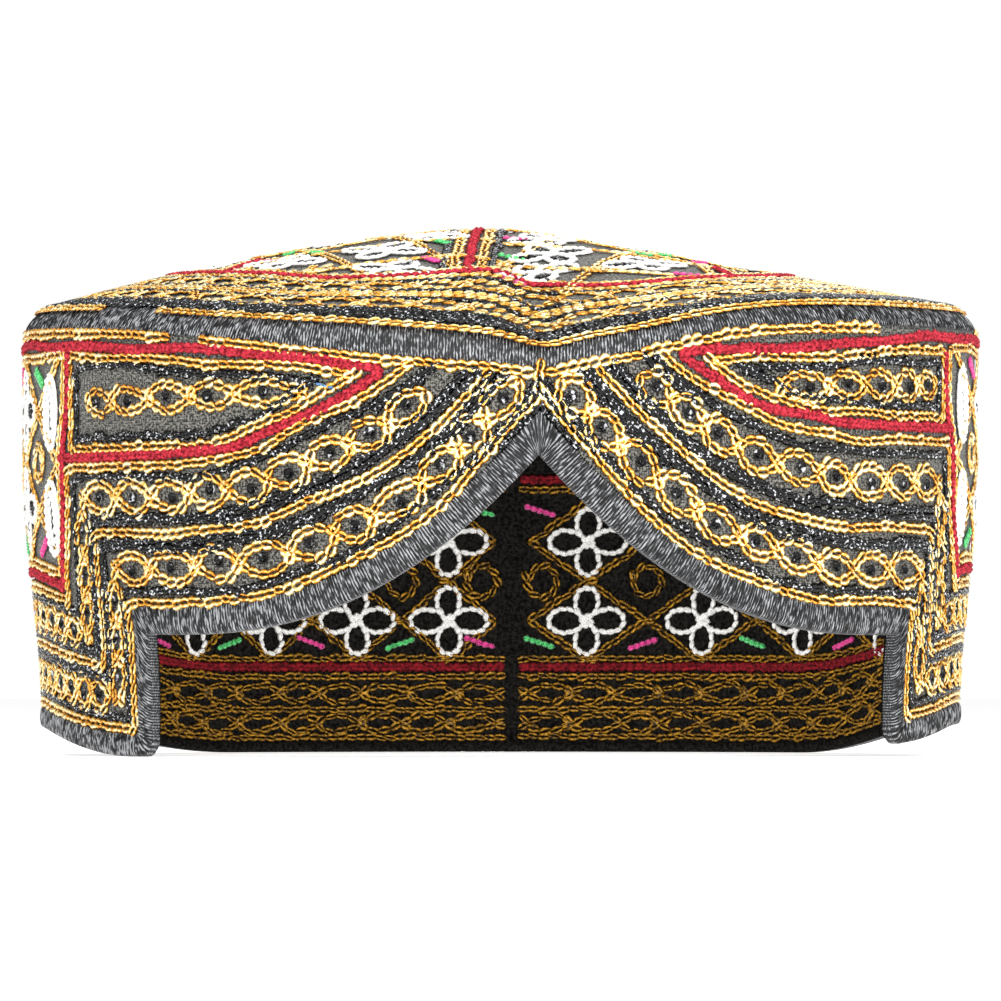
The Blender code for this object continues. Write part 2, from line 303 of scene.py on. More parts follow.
crown_cells = []
for column in range(CROWN_COLUMNS):
    after = (column + 1) % CROWN_COLUMNS
    crown_cells.append(((0, 0), (1, column), (1, after)))
    for ring in range(1, CROWN_RINGS):
        crown_cells.append(((ring, column), (ring + 1, column), (ring + 1, after), (ring, after)))
points, faces, flat = thick_sheet(crown_cells, crown_corner, lambda corner: crown_corner(corner, CLOTH),
                                  lambda corner: tuple(crown_corner(corner))[:2])
crown_cloth = new_piece("crown_cloth", "embroidered_cloth", points, faces, [cotton], flat, "crown")

# Satin ring: thick black cotton floss, stitched side by side from the wall over the shoulder to the crown,
# over a soft padding. It joins the wall and the crown and hides their raw edges.
ROLL_PADDING = 0.2 * MM
ROLL_THICKNESS = 2.8 * MM
ROLL_TUCK = 0.6 * MM
SHOULDER_POWER = 1.5
SHOULDER_STEPS = 9
FLOSS_PITCH = 0.62 * MM
FLOSS_RIDGE = 0.17 * MM
# Slant of the threads, how often it comes and goes round the cap, and where in degrees it starts.
FLOSS_SLANT = 0.9 * MM
SLANT_TURNS = 7
SLANT_START = 40
# How far the threads' backs stand up and the gaps between them sink in, in ridges.
FLOSS_CRESTS = (0.5, 1.5)
FLOSS_GAPS = (0.2, 0.4, 0.5, 1.6)
# Across the ring this grows and fades like half a wave, of which these are the start and the length.
UNEVEN_START = 0.12
UNEVEN_SPAN = 0.76
# The ring's hidden edges in its flat map, before its foot and past its end.
HIDDEN_UV = (-1 * MM, 2 * MM)
FLOSS_CLUMP = MM / 0.42
STREAK_WIDTH = MM / 4.2
STREAK_LENGTH = MM / 0.56

# Mercerised black cotton floss: round glossy threads, with painted shade in the gaps and grey painted
# highlights along their backs, and fine pale streaks of painted sheen along each thread. The streaks are a
# few fibres wide, about 0.25 mm, and 2 mm long.
floss, tree, shader = new_material("black_satin_floss", {"Roughness": 0.5, "Specular IOR Level": 0.3})
place = add_node(tree, "ShaderNodeUVMap", uv_map="surface")
stretch = add_node(tree, "ShaderNodeMapping", {"Vector": place,
                                               "Scale": (1 / STREAK_WIDTH, 1 / STREAK_LENGTH, 1)})
streaks = add_node(tree, "ShaderNodeTexNoise", {"Vector": stretch, "Scale": 1, "Detail": 2})
clumps = add_node(tree, "ShaderNodeTexNoise", {"Vector": place, "Scale": 1 / FLOSS_CLUMP, "Detail": 2})
# Painted shade in the gaps and a painted highlight on the backs, in step with the threads.
painted_rib_shade = add_node(tree, "ShaderNodeTexWave", {"Vector": place, "Scale": ONE_WAVE / FLOSS_PITCH},
                bands_direction="X")
both = add_node(tree, "ShaderNodeMath", {0: clumps, 1: 0.35, 2: streaks}, operation="MULTIPLY_ADD")
both = add_node(tree, "ShaderNodeMath", {0: painted_rib_shade, 1: 0.2, 2: both}, operation="MULTIPLY_ADD")
both = add_node(tree, "ShaderNodeMath", {0: both, 1: 0.26}, operation="SUBTRACT")
tint(tree, shader, both, ((0.42, "#030303"), (0.57, "#353638"), (0.70, "#a8aaad")), streaks, 0.8,
     0.12 * MM)


def ring_mesh(sections):
    """Points and faces of a closed ring through sections that all have the same number of points."""
    size, faces = len(sections[0]), []
    for i in range(len(sections)):
        j = (i + 1) % len(sections)
        for k in range(size):
            m = (k + 1) % size
            faces.append([i * size + k, j * size + k, j * size + m, i * size + m])
    return [point for section in sections for point in section], faces


def shoulder(turn):
    """How far out and up the satin ring's outside is at a turn, as shares of its reach and its rise."""
    return max(0, math.cos(turn)) ** (2 / SHOULDER_POWER), math.sin(turn) ** (2 / SHOULDER_POWER)


floss_dice = random.Random(11)
thread_count = round(2 * math.pi * BAND_RADIUS / FLOSS_PITCH)
ring_reach = BAND_RADIUS + ROLL_PADDING - ROLL_INNER_RADIUS
ring_sections, ring_uv = [], []
for thread in range(thread_count):
    crest = FLOSS_RIDGE * floss_dice.uniform(*FLOSS_CRESTS)
    gap = FLOSS_RIDGE * floss_dice.choice(FLOSS_GAPS)
    for half, push in ((0, -gap), (0.5, crest)):
        azimuth = turn_within(360 * (thread + half) / thread_count)
        rim, rise = rim_height(azimuth), roll_height(azimuth)
        phase = math.radians(azimuth * SLANT_TURNS + SLANT_START)
        slant = math.degrees(FLOSS_SLANT / BAND_RADIUS) * math.sin(phase)
        along = 2 * math.pi * BAND_RADIUS * (thread + half) / thread_count
        section = [polar(azimuth, BAND_RADIUS - ROLL_THICKNESS, rim)]
        ring_uv.append((along, HIDDEN_UV[0]))
        for i in range(SHOULDER_STEPS + 1):
            turn = math.pi / 2 * i / SHOULDER_STEPS
            out, up = shoulder(turn)
            padded = push * math.sin(math.pi * (UNEVEN_START + UNEVEN_SPAN * i / SHOULDER_STEPS))
            section.append(polar(azimuth + slant * i / SHOULDER_STEPS,
                                 ROLL_INNER_RADIUS + ring_reach * out + padded * math.cos(turn),
                                 rim + rise * up + padded * math.sin(turn)))
            ring_uv.append((along, (ring_reach + rise) * i / SHOULDER_STEPS))
        section.append(polar(azimuth + slant, ROLL_INNER_RADIUS - ROLL_TUCK, rim + rise - ROLL_THICKNESS))
        ring_uv.append((along, ring_reach + rise + HIDDEN_UV[1]))
        ring_sections.append(section)
new_piece("satin_ring", "satin_stitch", *ring_mesh(ring_sections), [floss], ring_uv, "crown_edge_roll")

# Wall: a strip of stiffened black cotton about 590 mm long, cut with a pointed arch at the front and bent
# round until its ends meet at the back. It leans in a little towards the hem.
HEM_RADIUS = 90.2 * MM
TAPER = (8 * MM, 58 * MM)
PATTERN_RADIUS = 93.5 * MM
LEG_ARC = math.radians(52.6) * PATTERN_RADIUS
ARCH_ARC = math.radians(48) * PATTERN_RADIUS
SPRING_HEIGHT = 23.5 * MM
ARCH_RISE = 34.1 * MM
ARCH_POWER = 2.6
LEG_CORNER = 3.5 * MM
BINDING_WIDTH = 5.8 * MM
LEG_BINDING_WIDTH = 4.2 * MM
HEM_BINDING_WIDTH = 4.6 * MM
SEAM_AZIMUTH = 174
SEAM_HALF_WIDTH = 2.5 * MM
# Columns: side (-1 left, 1 right), lift, then the azimuths where it begins, is full, fades and ends.
HEM_LIFTS = (
    (-1, 5.3 * MM, 56, 90, 108, 146),
    (1, 2.4 * MM, 20, 48, 100, 132),
    (1, 3.6 * MM, 52, 78, 100, 132),
)
WALL_STEP = 2.2 * MM
WALL_ROWS = 22
WALL_LEG_ROWS = 10
WALL_TUCK = 1.2 * MM
RIM_TUCK = 0.3 * MM
EDGE_TUCK = 2.6 * MM
HALVINGS = 30


def portion(value, start, span, most=1):
    """How much of a span a value has passed since its start, from 0 to most."""
    return min(most, max(0, (value - start) / span))


def smooth_step(value, low, high):
    """0 below low, 1 above high, and an even S between them."""
    share = portion(value, low, high - low)
    return share * share * (3 - 2 * share)


def azimuth_of(arc):
    """Degrees round the cap from its front centre, to the right positive."""
    return math.degrees(arc / PATTERN_RADIUS)


def arc_of(azimuth):
    """Distance along the flat pattern of the wall at an azimuth in degrees."""
    return math.radians(azimuth) * PATTERN_RADIUS


def hem_height(azimuth):
    """Height of the hem: 0 where the cap rests, and lifted at its sides."""
    height = 0
    for side, lift, begins, full, fades, ends in HEM_LIFTS:
        turn = side * azimuth
        height += lift * smooth_step(turn, begins, full) * (1 - smooth_step(turn, fades, ends))
    return height


def arch_height(arc):
    """Height of the arch's cut edge. A negative arc runs on past the point, for mitred offsets."""
    return SPRING_HEIGHT + ARCH_RISE * max(0, 1 - arc / ARCH_ARC) ** ARCH_POWER


def arch_normal(arc):
    """Unit normal of the arch's right half, into the cloth, as (along arc, up)."""
    slope = -ARCH_RISE * ARCH_POWER / ARCH_ARC * max(0, 1 - arc / ARCH_ARC) ** (ARCH_POWER - 1)
    length = math.hypot(1, slope)
    return -slope / length, 1 / length


def arch_offset_height(arc, offset):
    """Height at an arc of the line that runs at an offset above the arch's cut edge."""
    low, high = abs(arc) - offset, abs(arc)
    for _ in range(HALVINGS):
        middle = (low + high) / 2
        if middle + offset * arch_normal(middle)[0] < abs(arc):
            low = middle
        else:
            high = middle
    return arch_height(low) + offset * arch_normal(low)[1]


def wall_point(arc, height, depth):
    """Rolls a place on the flat pattern up into the cap. Depth is measured in from the outer face."""
    radius = HEM_RADIUS + (BAND_RADIUS - HEM_RADIUS) * smooth_step(height, *TAPER)
    return polar(azimuth_of(arc), radius - depth, height)


def evenly(first, last, step):
    """Evenly spaced numbers from first to last, about a step apart."""
    count = max(1, round(abs(last - first) / step))
    return [first + (last - first) * i / count for i in range(count + 1)]


def fibre_material(name, constants, grain, detail, stops, strength, depth=0.1 * MM):
    """A material with specks as large as its grain, which colour it and raise it. Real fibres are finer,
    and the specks are as coarse as they need to be to show."""
    material, tree, shader = new_material(name, constants)
    place = add_node(tree, "ShaderNodeTexCoord")
    fibres = add_node(tree, "ShaderNodeTexNoise", {"Vector": place.outputs["Object"], "Scale": 1 / grain,
                                                   "Detail": detail})
    tint(tree, shader, fibres, stops, fibres, strength, depth)
    return material


# The inner faces of the wall, of the binding and of the seam: the same black cloth darkened with painted
# shade, smoother and closer to true black.
shaded_cloth = fibre_material("shaded_black_cotton", {"Roughness": 0.95, "Specular IOR Level": 0.05}, MM / 1.5, 3,
                        ((0.38, "#090808"), (0.64, "#262421")), 0.5)

leg_column = LEG_ARC + LEG_BINDING_WIDTH - EDGE_TUCK
leg_top = SPRING_HEIGHT + BINDING_WIDTH - EDGE_TUCK
# Arcs of the two ends of the strip, on the left and on the right.
SEAM_ARCS = {-1: arc_of(360 - SEAM_AZIMUTH), 1: arc_of(SEAM_AZIMUTH)}
wall_arcs = [-a for a in reversed(evenly(leg_column, SEAM_ARCS[-1], WALL_STEP))]
wall_arcs += evenly(-leg_column, leg_column, WALL_STEP)[1:-1]
wall_arcs += evenly(leg_column, SEAM_ARCS[1], WALL_STEP)


def wall_place(corner):
    """Arc and height on the flat pattern of a corner of the wall's mesh."""
    column, row = corner
    arc = wall_arcs[column]
    azimuth = azimuth_of(arc)
    if row < 0:
        low = hem_height(azimuth) + HEM_BINDING_WIDTH - EDGE_TUCK
        return arc, low + (leg_top - low) * (row + WALL_LEG_ROWS) / WALL_LEG_ROWS
    low = leg_top
    if abs(arc) < leg_column - WALL_TUCK:
        low = arch_offset_height(arc, BINDING_WIDTH - EDGE_TUCK)
    return arc, low + (rim_height(azimuth) + RIM_TUCK - low) * row / WALL_ROWS


wall_cells = []
for column in range(len(wall_arcs) - 1):
    between_legs = min(abs(wall_arcs[column]), abs(wall_arcs[column + 1])) < leg_column - WALL_TUCK
    for row in range(0 if between_legs else -WALL_LEG_ROWS, WALL_ROWS):
        wall_cells.append(((column, row), (column + 1, row), (column + 1, row + 1), (column, row + 1)))
points, faces, flat = thick_sheet(wall_cells, lambda corner: wall_point(*wall_place(corner), 0),
                                  lambda corner: wall_point(*wall_place(corner), CLOTH), wall_place)
# Its inner face takes the black with painted shade.
wall_cloth = new_piece("wall_cloth", "embroidered_cloth", points, faces, [cotton, shaded_cloth], flat,
                       "side_band", range(len(wall_cells), 2 * len(wall_cells)))

# Edge binding: the same black floss over a thicker padding, stitched square to the edge all round the
# arch, down both legs and along the hem. The threads pass over the edge to the inside.
BINDING_FOOT = 1.0 * MM
BINDING_FULL = 1.75 * MM
BINDING_SHARES = (0, 0.07, 0.2, 0.4, 0.6, 0.8, 0.93, 1)
BINDING_INSIDE_SHARES = (1, 0.85, 0.4, 0)
INSIDE_SHARE = 0.45
INSIDE_UV = 20 * MM
BINDING_CRESTS = (0.5, 1.6)
BINDING_GAPS = (0.2, 0.4, 0.6, 1.8)
# How far the gaps between threads draw back from the cut edge, in binding widths for one ridge.
EDGE_DRAW = 0.02
# Steps along the arch, in shares of the stretch to the leg and of the leg, in degrees round the leg's
# corner, and along the hem. The upper line moves on a little round the corner and after it.
ARCH_STEP = 0.5 * MM
SPRING_STEP = 0.12
LEG_STEP = 0.03
CORNER_STEP = 7.5
HEM_STEP = 1 * MM
CORNER_MOVE = 0.2 * MM
HEM_MOVE = 0.3 * MM
# A longer step in metres than any along the edge.
BACK_STEP = 0.1


def binding_half(side):
    """The cut edge and the binding's upper line, as pairs of places from the arch's point to the back."""
    inner_arc, inner_top = LEG_ARC + LEG_BINDING_WIDTH, SPRING_HEIGHT + BINDING_WIDTH
    foot = hem_height(side * azimuth_of(LEG_ARC))
    inner_foot = foot + HEM_BINDING_WIDTH
    pairs = []
    for arc in evenly(0, ARCH_ARC, ARCH_STEP)[1:]:
        across, up = arch_normal(arc)
        height = arch_height(arc)
        pairs.append(((arc, height), (arc + BINDING_WIDTH * across, height + BINDING_WIDTH * up)))
    start, upper_start = pairs[-1][0][0], pairs[-1][1][0]
    for share in evenly(0, 1, SPRING_STEP)[1:]:
        pairs.append(((start + (LEG_ARC - start) * share, SPRING_HEIGHT),
                      (upper_start + (inner_arc - upper_start) * share, inner_top)))
    for share in evenly(0, 1, LEG_STEP)[1:]:
        pairs.append(((LEG_ARC, SPRING_HEIGHT - (SPRING_HEIGHT - foot - LEG_CORNER) * share),
                      (inner_arc, inner_top - (inner_top - inner_foot) * share)))
    for angle in evenly(0, 90, CORNER_STEP)[1:]:
        turn = math.radians(angle)
        corner = (LEG_ARC + LEG_CORNER * (1 - math.cos(turn)), foot + LEG_CORNER * (1 - math.sin(turn)))
        pairs.append((corner, (inner_arc + CORNER_MOVE * angle / 90, inner_foot)))
    for arc in evenly(inner_arc + HEM_MOVE, arc_of(180), HEM_STEP):
        height = hem_height(side * azimuth_of(arc))
        pairs.append(((arc, height), (arc, height + HEM_BINDING_WIDTH)))
    return pairs


def resample(pairs, pitch):
    """The same closed path with its pairs evenly spaced along its middle line, and the spacing."""
    closed, spans = pairs + pairs[:1], [0]
    for (e0, u0), (e1, u1) in zip(closed, closed[1:]):
        step = math.hypot((e1[0] + u1[0] - e0[0] - u0[0]) / 2, (e1[1] + u1[1] - e0[1] - u0[1]) / 2)
        # The step at the back, from one end of the flat pattern to the other, has no length on the cap.
        spans.append(spans[-1] + (step if step < BACK_STEP else 0))
    count = round(spans[-1] / pitch)
    places, k = [], 0
    for i in range(count):
        target = spans[-1] * i / count
        while spans[k + 1] <= target:
            k += 1
        share = (target - spans[k]) / (spans[k + 1] - spans[k])
        places.append([[a + (b - a) * share for a, b in zip(p, q)]
                       for p, q in zip(closed[k], closed[k + 1])])
    return places, spans[-1] / count


apex = SPRING_HEIGHT + ARCH_RISE
apex_upper = apex + BINDING_WIDTH * math.hypot(1, ARCH_RISE * ARCH_POWER / ARCH_ARC)
binding_path = [((0, apex), (0, apex_upper))] + binding_half(1)
binding_path += [((-e[0], e[1]), (-u[0], u[1])) for e, u in reversed(binding_half(-1)[:-1])]
binding_places, binding_pitch = resample(binding_path, FLOSS_PITCH / 2)
binding_dice = random.Random(12)
binding_sections, binding_uv = [], []
for i, (edge, upper) in enumerate(binding_places):
    if i % 2 == 0:
        crest = FLOSS_RIDGE * binding_dice.uniform(*BINDING_CRESTS)
        gap = FLOSS_RIDGE * binding_dice.choice(BINDING_GAPS)
    push = crest if i % 2 else -gap
    section = []
    for face, shares in ((1, BINDING_SHARES), (-1, BINDING_INSIDE_SHARES)):
        for share in shares:
            bulge = (1 - abs(2 * share - 1) ** 3) ** 0.5
            proud = BINDING_FOOT + (BINDING_FULL - BINDING_FOOT + push) * bulge
            along = -EDGE_DRAW * push / FLOSS_RIDGE if share == 0 and push < 0 else share
            along *= 1 if face > 0 else INSIDE_SHARE
            arc, height = [a + (b - a) * along for a, b in zip(edge, upper)]
            section.append(wall_point(arc, height, CLOTH / 2 - face * proud))
            binding_uv.append((i * binding_pitch, share * BINDING_WIDTH + (0 if face > 0 else INSIDE_UV)))
    binding_sections.append(section)
size = len(BINDING_SHARES) + len(BINDING_INSIDE_SHARES)
points, faces = ring_mesh(binding_sections)
# The threads' inside takes the black with painted shade.
new_piece("satin_binding", "satin_stitch", points, faces, [floss, shaded_cloth], binding_uv, "edge_binding",
          [i for i in range(len(faces)) if len(BINDING_SHARES) <= i % size < size - 1])

# Thread rows, first the thread itself: every row on the cap is chain stitch, a loop drawn up through the
# cloth, held by the next loop. A link is two strands that part from the loop before and meet in the next.
LINK_SIDES = 3
# Columns: share of the stitch's length, half opening in widths, height in thread heights, thickness.
OPEN_LINK = (
    (-0.26, 0.04, 0.10, 0.0),
    (0.10, 0.24, 0.36, 0.23),
    (0.58, 0.33, 0.52, 0.27),
    (0.98, 0.24, 0.50, 0.24),
    (1.26, 0.02, 0.25, 0.0),
)
CLOSED_LINK = (
    (-0.36, 0.02, 0.10, 0.0),
    (0.10, 0.13, 0.40, 0.31),
    (0.60, 0.18, 0.58, 0.37),
    (1.00, 0.13, 0.52, 0.32),
    (1.36, 0.00, 0.15, 0.0),
)
SWING = 1.1


def make_link(name, profile):
    """A chain stitch one unit long and about one wide, in strands that are pointed at both ends."""
    points, faces, ridge_highlights = [], [], []
    for side in (-1, 1):
        first = len(points)
        for along, out, up, thick in profile:
            for k in range(LINK_SIDES if thick else 1):
                turn = math.pi / 2 + 2 * math.pi * k / LINK_SIDES
                points.append((along, side * out + thick * math.cos(turn), up + thick * math.sin(turn)))
                ridge_highlights.append(1.0 if thick and k == 0 else 0.0)
        rings = [first + 1 + LINK_SIDES * i for i in range(len(profile) - 2)]
        for k in range(LINK_SIDES):
            m = (k + 1) % LINK_SIDES
            faces.append((first, rings[0] + m, rings[0] + k))
            faces += [(a + k, a + m, b + m, b + k) for a, b in zip(rings, rings[1:])]
            faces.append((rings[-1] + LINK_SIDES, rings[-1] + k, rings[-1] + m))
    mesh = bpy.data.meshes.new(name)
    mesh.from_pydata(points, [], faces)
    mesh.shade_smooth()
    # The top ridge of each strand is marked, for a painted highlight along it.
    mesh.attributes.new("crest", "FLOAT", "POINT").data.foreach_set("value", ridge_highlights)
    return new_object(name, mesh)


open_link = make_link("open_link", OPEN_LINK)
closed_link = make_link("closed_link", CLOSED_LINK)

# Geometry nodes that sew a link along every path of a mesh of edges, lying on the surface there. Each
# stitch gets a width, a swing and a tone of its own.
stitch_tree = tree = bpy.data.node_groups.new("chain_stitch", "GeometryNodeTree")
for name, kind in (("Geometry", "Geometry"), ("Link", "Object"), ("Stitch Length", "Float"),
                   ("Width", "Float"), ("Height", "Float"), ("Unevenness", "Float"), ("Seed", "Int"),
                   ("Thread", "Material")):
    tree.interface.new_socket(name=name, in_out="INPUT", socket_type="NodeSocket" + kind)
tree.interface.new_socket(name="Geometry", in_out="OUTPUT", socket_type="NodeSocketGeometry")
given = add_node(tree, "NodeGroupInput").outputs
curve = add_node(tree, "GeometryNodeMeshToCurve", {"Mesh": given["Geometry"]})
spaced = add_node(tree, "GeometryNodeResampleCurve", {"Curve": curve, "Length": given["Stitch Length"]},
                  mode="LENGTH")
facing = add_node(tree, "GeometryNodeInputNamedAttribute", {"Name": "facing"}, data_type="FLOAT_VECTOR")
ahead = add_node(tree, "GeometryNodeInputTangent")
turned = add_node(tree, "FunctionNodeAxesToRotation", {"Primary Axis": facing, "Secondary Axis": ahead},
                  primary_axis="Z", secondary_axis="X")
less = add_node(tree, "ShaderNodeMath", {0: 1.0, 1: given["Unevenness"]}, operation="SUBTRACT")
more = add_node(tree, "ShaderNodeMath", {0: 1.0, 1: given["Unevenness"]}, operation="ADD")
uneven = add_node(tree, "FunctionNodeRandomValue", {2: less, 3: more, "Seed": given["Seed"]},
                  data_type="FLOAT")
wide = add_node(tree, "ShaderNodeMath", {0: given["Width"], 1: uneven.outputs[1]}, operation="MULTIPLY")
size = add_node(tree, "ShaderNodeCombineXYZ", {"X": given["Stitch Length"], "Y": wide, "Z": given["Height"]})
link = add_node(tree, "GeometryNodeObjectInfo", {"Object": given["Link"]})
sewn = add_node(tree, "GeometryNodeInstanceOnPoints",
                {"Points": spaced, "Instance": link.outputs["Geometry"], "Rotation": turned, "Scale": size})
swing = add_node(tree, "ShaderNodeMath", {0: given["Unevenness"], 1: SWING}, operation="MULTIPLY")
back = add_node(tree, "ShaderNodeMath", {0: swing, 1: -1.0}, operation="MULTIPLY")
twist = add_node(tree, "FunctionNodeRandomValue", {2: back, 3: swing, "Seed": given["Seed"]},
                 data_type="FLOAT")
tilt = add_node(tree, "ShaderNodeCombineXYZ", {"Z": twist.outputs[1]})
swung = add_node(tree, "GeometryNodeRotateInstances",
                 {"Instances": sewn, "Rotation": tilt, "Local Space": True})
tone = add_node(tree, "FunctionNodeRandomValue", {"Seed": given["Seed"]}, data_type="FLOAT")
toned = add_node(tree, "GeometryNodeStoreNamedAttribute",
                 {"Geometry": swung, "Name": "tone", "Value": tone.outputs[1]},
                 domain="INSTANCE", data_type="FLOAT")
real = add_node(tree, "GeometryNodeRealizeInstances", {"Geometry": toned})
dressed = add_node(tree, "GeometryNodeSetMaterial", {"Geometry": real, "Material": given["Thread"]})
add_node(tree, "NodeGroupOutput", {"Geometry": dressed})


def stitch(link, length, width, height, unevenness, seed, thread):
    """The settings of one kind of chain stitch, its sizes in millimetres."""
    return {"Link": link, "Stitch Length": length * MM, "Width": width * MM, "Height": height * MM,
            "Unevenness": unevenness, "Seed": seed, "Thread": thread}


def sew(name, paths, settings):
    """One piece of thread work: stitches along paths, each a list of places with the way they face."""
    places, edges = [], []
    for path in paths:
        edges += [(len(places) + i, len(places) + i + 1) for i in range(len(path) - 1)]
        places += path
    mesh = bpy.data.meshes.new(name)
    mesh.from_pydata([place for place, way in places], edges, [])
    facing = mesh.attributes.new("facing", "FLOAT_VECTOR", "POINT")
    for i, (place, way) in enumerate(places):
        facing.data[i].vector = way
    piece = new_object(name, mesh)
    modifier = piece.modifiers.new("stitches", "NODES")
    modifier.node_group = stitch_tree
    for item in stitch_tree.interface.items_tree:
        if item.in_out == "INPUT" and item.name in settings:
            modifier[item.identifier] = settings[item.name]
    graph = bpy.context.evaluated_depsgraph_get()
    sewn = bpy.data.meshes.new_from_object(piece.evaluated_get(graph), preserve_all_data_layers=True,
                                           depsgraph=graph)
    piece.modifiers.clear()
    piece.data = sewn
    sewn.name = name
    sewn.shade_smooth()
    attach(piece, "root")


# How far the middle of a thread's foot lies off the cloth.
LIFT = 0.15 * MM
# Loops: steps along their line and round one strand, how blunt they are, how uneven their lengths are, how
# wide and how lopsided they come out, and how far in millimetres what is sewn in them strays.
FINE_STEP = 0.4 * MM
STRAND_STEPS = 14
BLUNTNESS = 0.8
RAGGEDNESS = 0.1
SWELLS = (0.9, 1.08)
LEANS = (0.78, 0.92)
STRAY_ALONG = 0.7
STRAY_ACROSS = 0.6


def on_wall(lines):
    """Flat lines as paths on the wall's outer face: points, each with the way it faces."""
    return [[(wall_point(arc, height, -LIFT), polar(azimuth_of(arc), 1, 0)) for arc, height in line]
            for line in lines]


def dense(line, step=1.0 * MM):
    """The same line with places no more than a step apart."""
    places = [line[0]]
    for (x0, y0), (x1, y1) in zip(line, line[1:]):
        count = max(1, math.ceil(math.hypot(x1 - x0, y1 - y0) / step))
        places += [(x0 + (x1 - x0) * i / count, y0 + (y1 - y0) * i / count) for i in range(1, count + 1)]
    return places


def looped(line, first_length, last_length, half_width):
    """A row of loops along a line: two strands that cross, and the middle of each loop."""
    places, spans = dense(line, FINE_STEP), [0]
    for (x0, y0), (x1, y1) in zip(places, places[1:]):
        spans.append(spans[-1] + math.hypot(x1 - x0, y1 - y0))
    total, pair = spans[-1], first_length + last_length
    count = max(1, round(2 * total / pair))
    growth = (last_length - first_length) / pair
    cuts = []
    for i in range(count + 1):
        share = i / count
        ragged = gold_dice.uniform(-RAGGEDNESS, RAGGEDNESS) / count if 0 < i < count else 0
        cuts.append(total * (share - growth * share * (1 - share) + ragged))

    def spot(distance, offset):
        """A place at a distance along the line and at an offset to its side."""
        k = min(len(spans) - 2, max(0, bisect.bisect_right(spans, distance) - 1))
        (x0, y0), (x1, y1) = places[k], places[k + 1]
        length = spans[k + 1] - spans[k]
        share = (distance - spans[k]) / length
        across, up = (x1 - x0) / length, (y1 - y0) / length
        return x0 + (x1 - x0) * share - up * offset, y0 + (y1 - y0) * share + across * offset

    strands, middles = [], []
    for start, end in zip(cuts, cuts[1:]):
        swell = half_width * gold_dice.uniform(*SWELLS)
        lean = gold_dice.uniform(*LEANS)
        for side in (1, -1):
            strand = []
            for step in range(STRAND_STEPS + 1):
                share = step / STRAND_STEPS
                bent = share ** lean if side > 0 else 1 - (1 - share) ** lean
                out = side * swell * math.sin(math.pi * bent) ** BLUNTNESS
                strand.append(spot(start + (end - start) * share, out))
            strands.append(strand)
        middles.append(spot((start + end) / 2 + gold_dice.uniform(-STRAY_ALONG, STRAY_ALONG) * MM,
                            gold_dice.uniform(-STRAY_ACROSS, STRAY_ACROSS) * MM))
    return strands, middles


# Gold rows on the wall: flat gilt strip wound on cotton and chain stitched. Three lines and two rows of
# loops follow the arch, turn down the legs and run on along the hem to the back. Leaf-shaped frames fill
# the corners over the arch, and a lattice fills the panel at each side, from the leg to the back seam.
SIDES = ((-1, "left"), (1, "right"))
# Rows that follow the edge, in millimetres. Columns: offset from the arch, place beside the left leg and
# its lean for each unit of height, the same beside the right leg, and height above the hem.
EDGE_ROWS = {
    "low_gold": (6.2, (4.9, 0.0), (4.9, 0.0), 5.5),
    "low_black": (8.2, (6.5, 0.03), (6.4, 0.04), 7.5),
    "low_loops": (12.7, (9.7, 0.05), (9.5, 0.12), 11.3),
    "mid_black": (16.9, (12.4, 0.04), (11.9, 0.16), 14.9),
    "mid_black_2": (18.1, (13.3, 0.04), (12.6, 0.18), 15.8),
    "mid_gold": (19.8, (14.7, 0.03), (13.7, 0.19), 17.3),
    "upper_black": (21.6, (16.3, 0.04), (15.1, 0.19), 19.0),
    "upper_black_2": (22.8, (17.2, 0.04), (15.9, 0.19), 19.9),
    "high_loops": (26.5, (20.4, 0.06), (18.5, 0.19), 22.9),
    "high_black": (30.5, (24.3, 0.09), (22.6, 0.22), 26.5),
    "high_gold": (32.5, (26.6, 0.08), (26.0, 0.25), 28.3),
    "red": (34.4, (29.0, 0.08), (28.4, 0.26), 31.0),
}
EDGE_ROWS = {name: (offset * MM, (left * MM, left_lean), (right * MM, right_lean), rise * MM)
             for name, (offset, (left, left_lean), (right, right_lean), rise) in EDGE_ROWS.items()}
PANEL_FOOT = EDGE_ROWS["red"][3]
LEAF_GOLD_OFFSET = 36.2 * MM
LEAN_FROM_HEIGHT = 24 * MM
# The rows were drawn by hand: they draw together towards the arch's point, and the upper ones stand off
# from the arch further out.
LEFT_PULL = 5.0 * MM
LEFT_SWELL = 1.4 * MM
RIGHT_PULL = 4.5 * MM
RIGHT_SPREAD = 9.6 * MM
POINT_SWELL = 1.7 * MM
# The azimuths between which these set in or fade, and the swell's middle and spread.
LEFT_PULL_AZIMUTHS = (10, 28)
LEFT_SWELL_PLACE = (29, 9)
RIGHT_SPREAD_AZIMUTHS = (1, 40)
POINT_SWELL_AZIMUTHS = (2, 13)
# The offset from the arch at which they set in, the span over which they grow, and how far at most.
LEFT_PULL_GROWTH = (8 * MM, 26 * MM)
LEFT_SWELL_GROWTH = (20 * MM, 12 * MM)
RIGHT_GROWTH = (18 * MM, 14 * MM, 1.2)
# Each row strays by two waves, one faster and one slower, which start elsewhere in each row.
WANDER = 0.28 * MM
WANDER_LENGTH = 5.2 * MM
SLOW_WANDER = 0.43
FAST_START = 900
SLOW_START = 2300
# How far a row is followed past the arch's point, where beside the arch its leg begins, and how far apart
# its places are, along the rim or the hem and down the leg.
ARCH_RUN_ON = 40 * MM
SPRING_AZIMUTH = 52
ROW_PLACES = 1.5 * MM
LEG_PLACES = 3 * MM
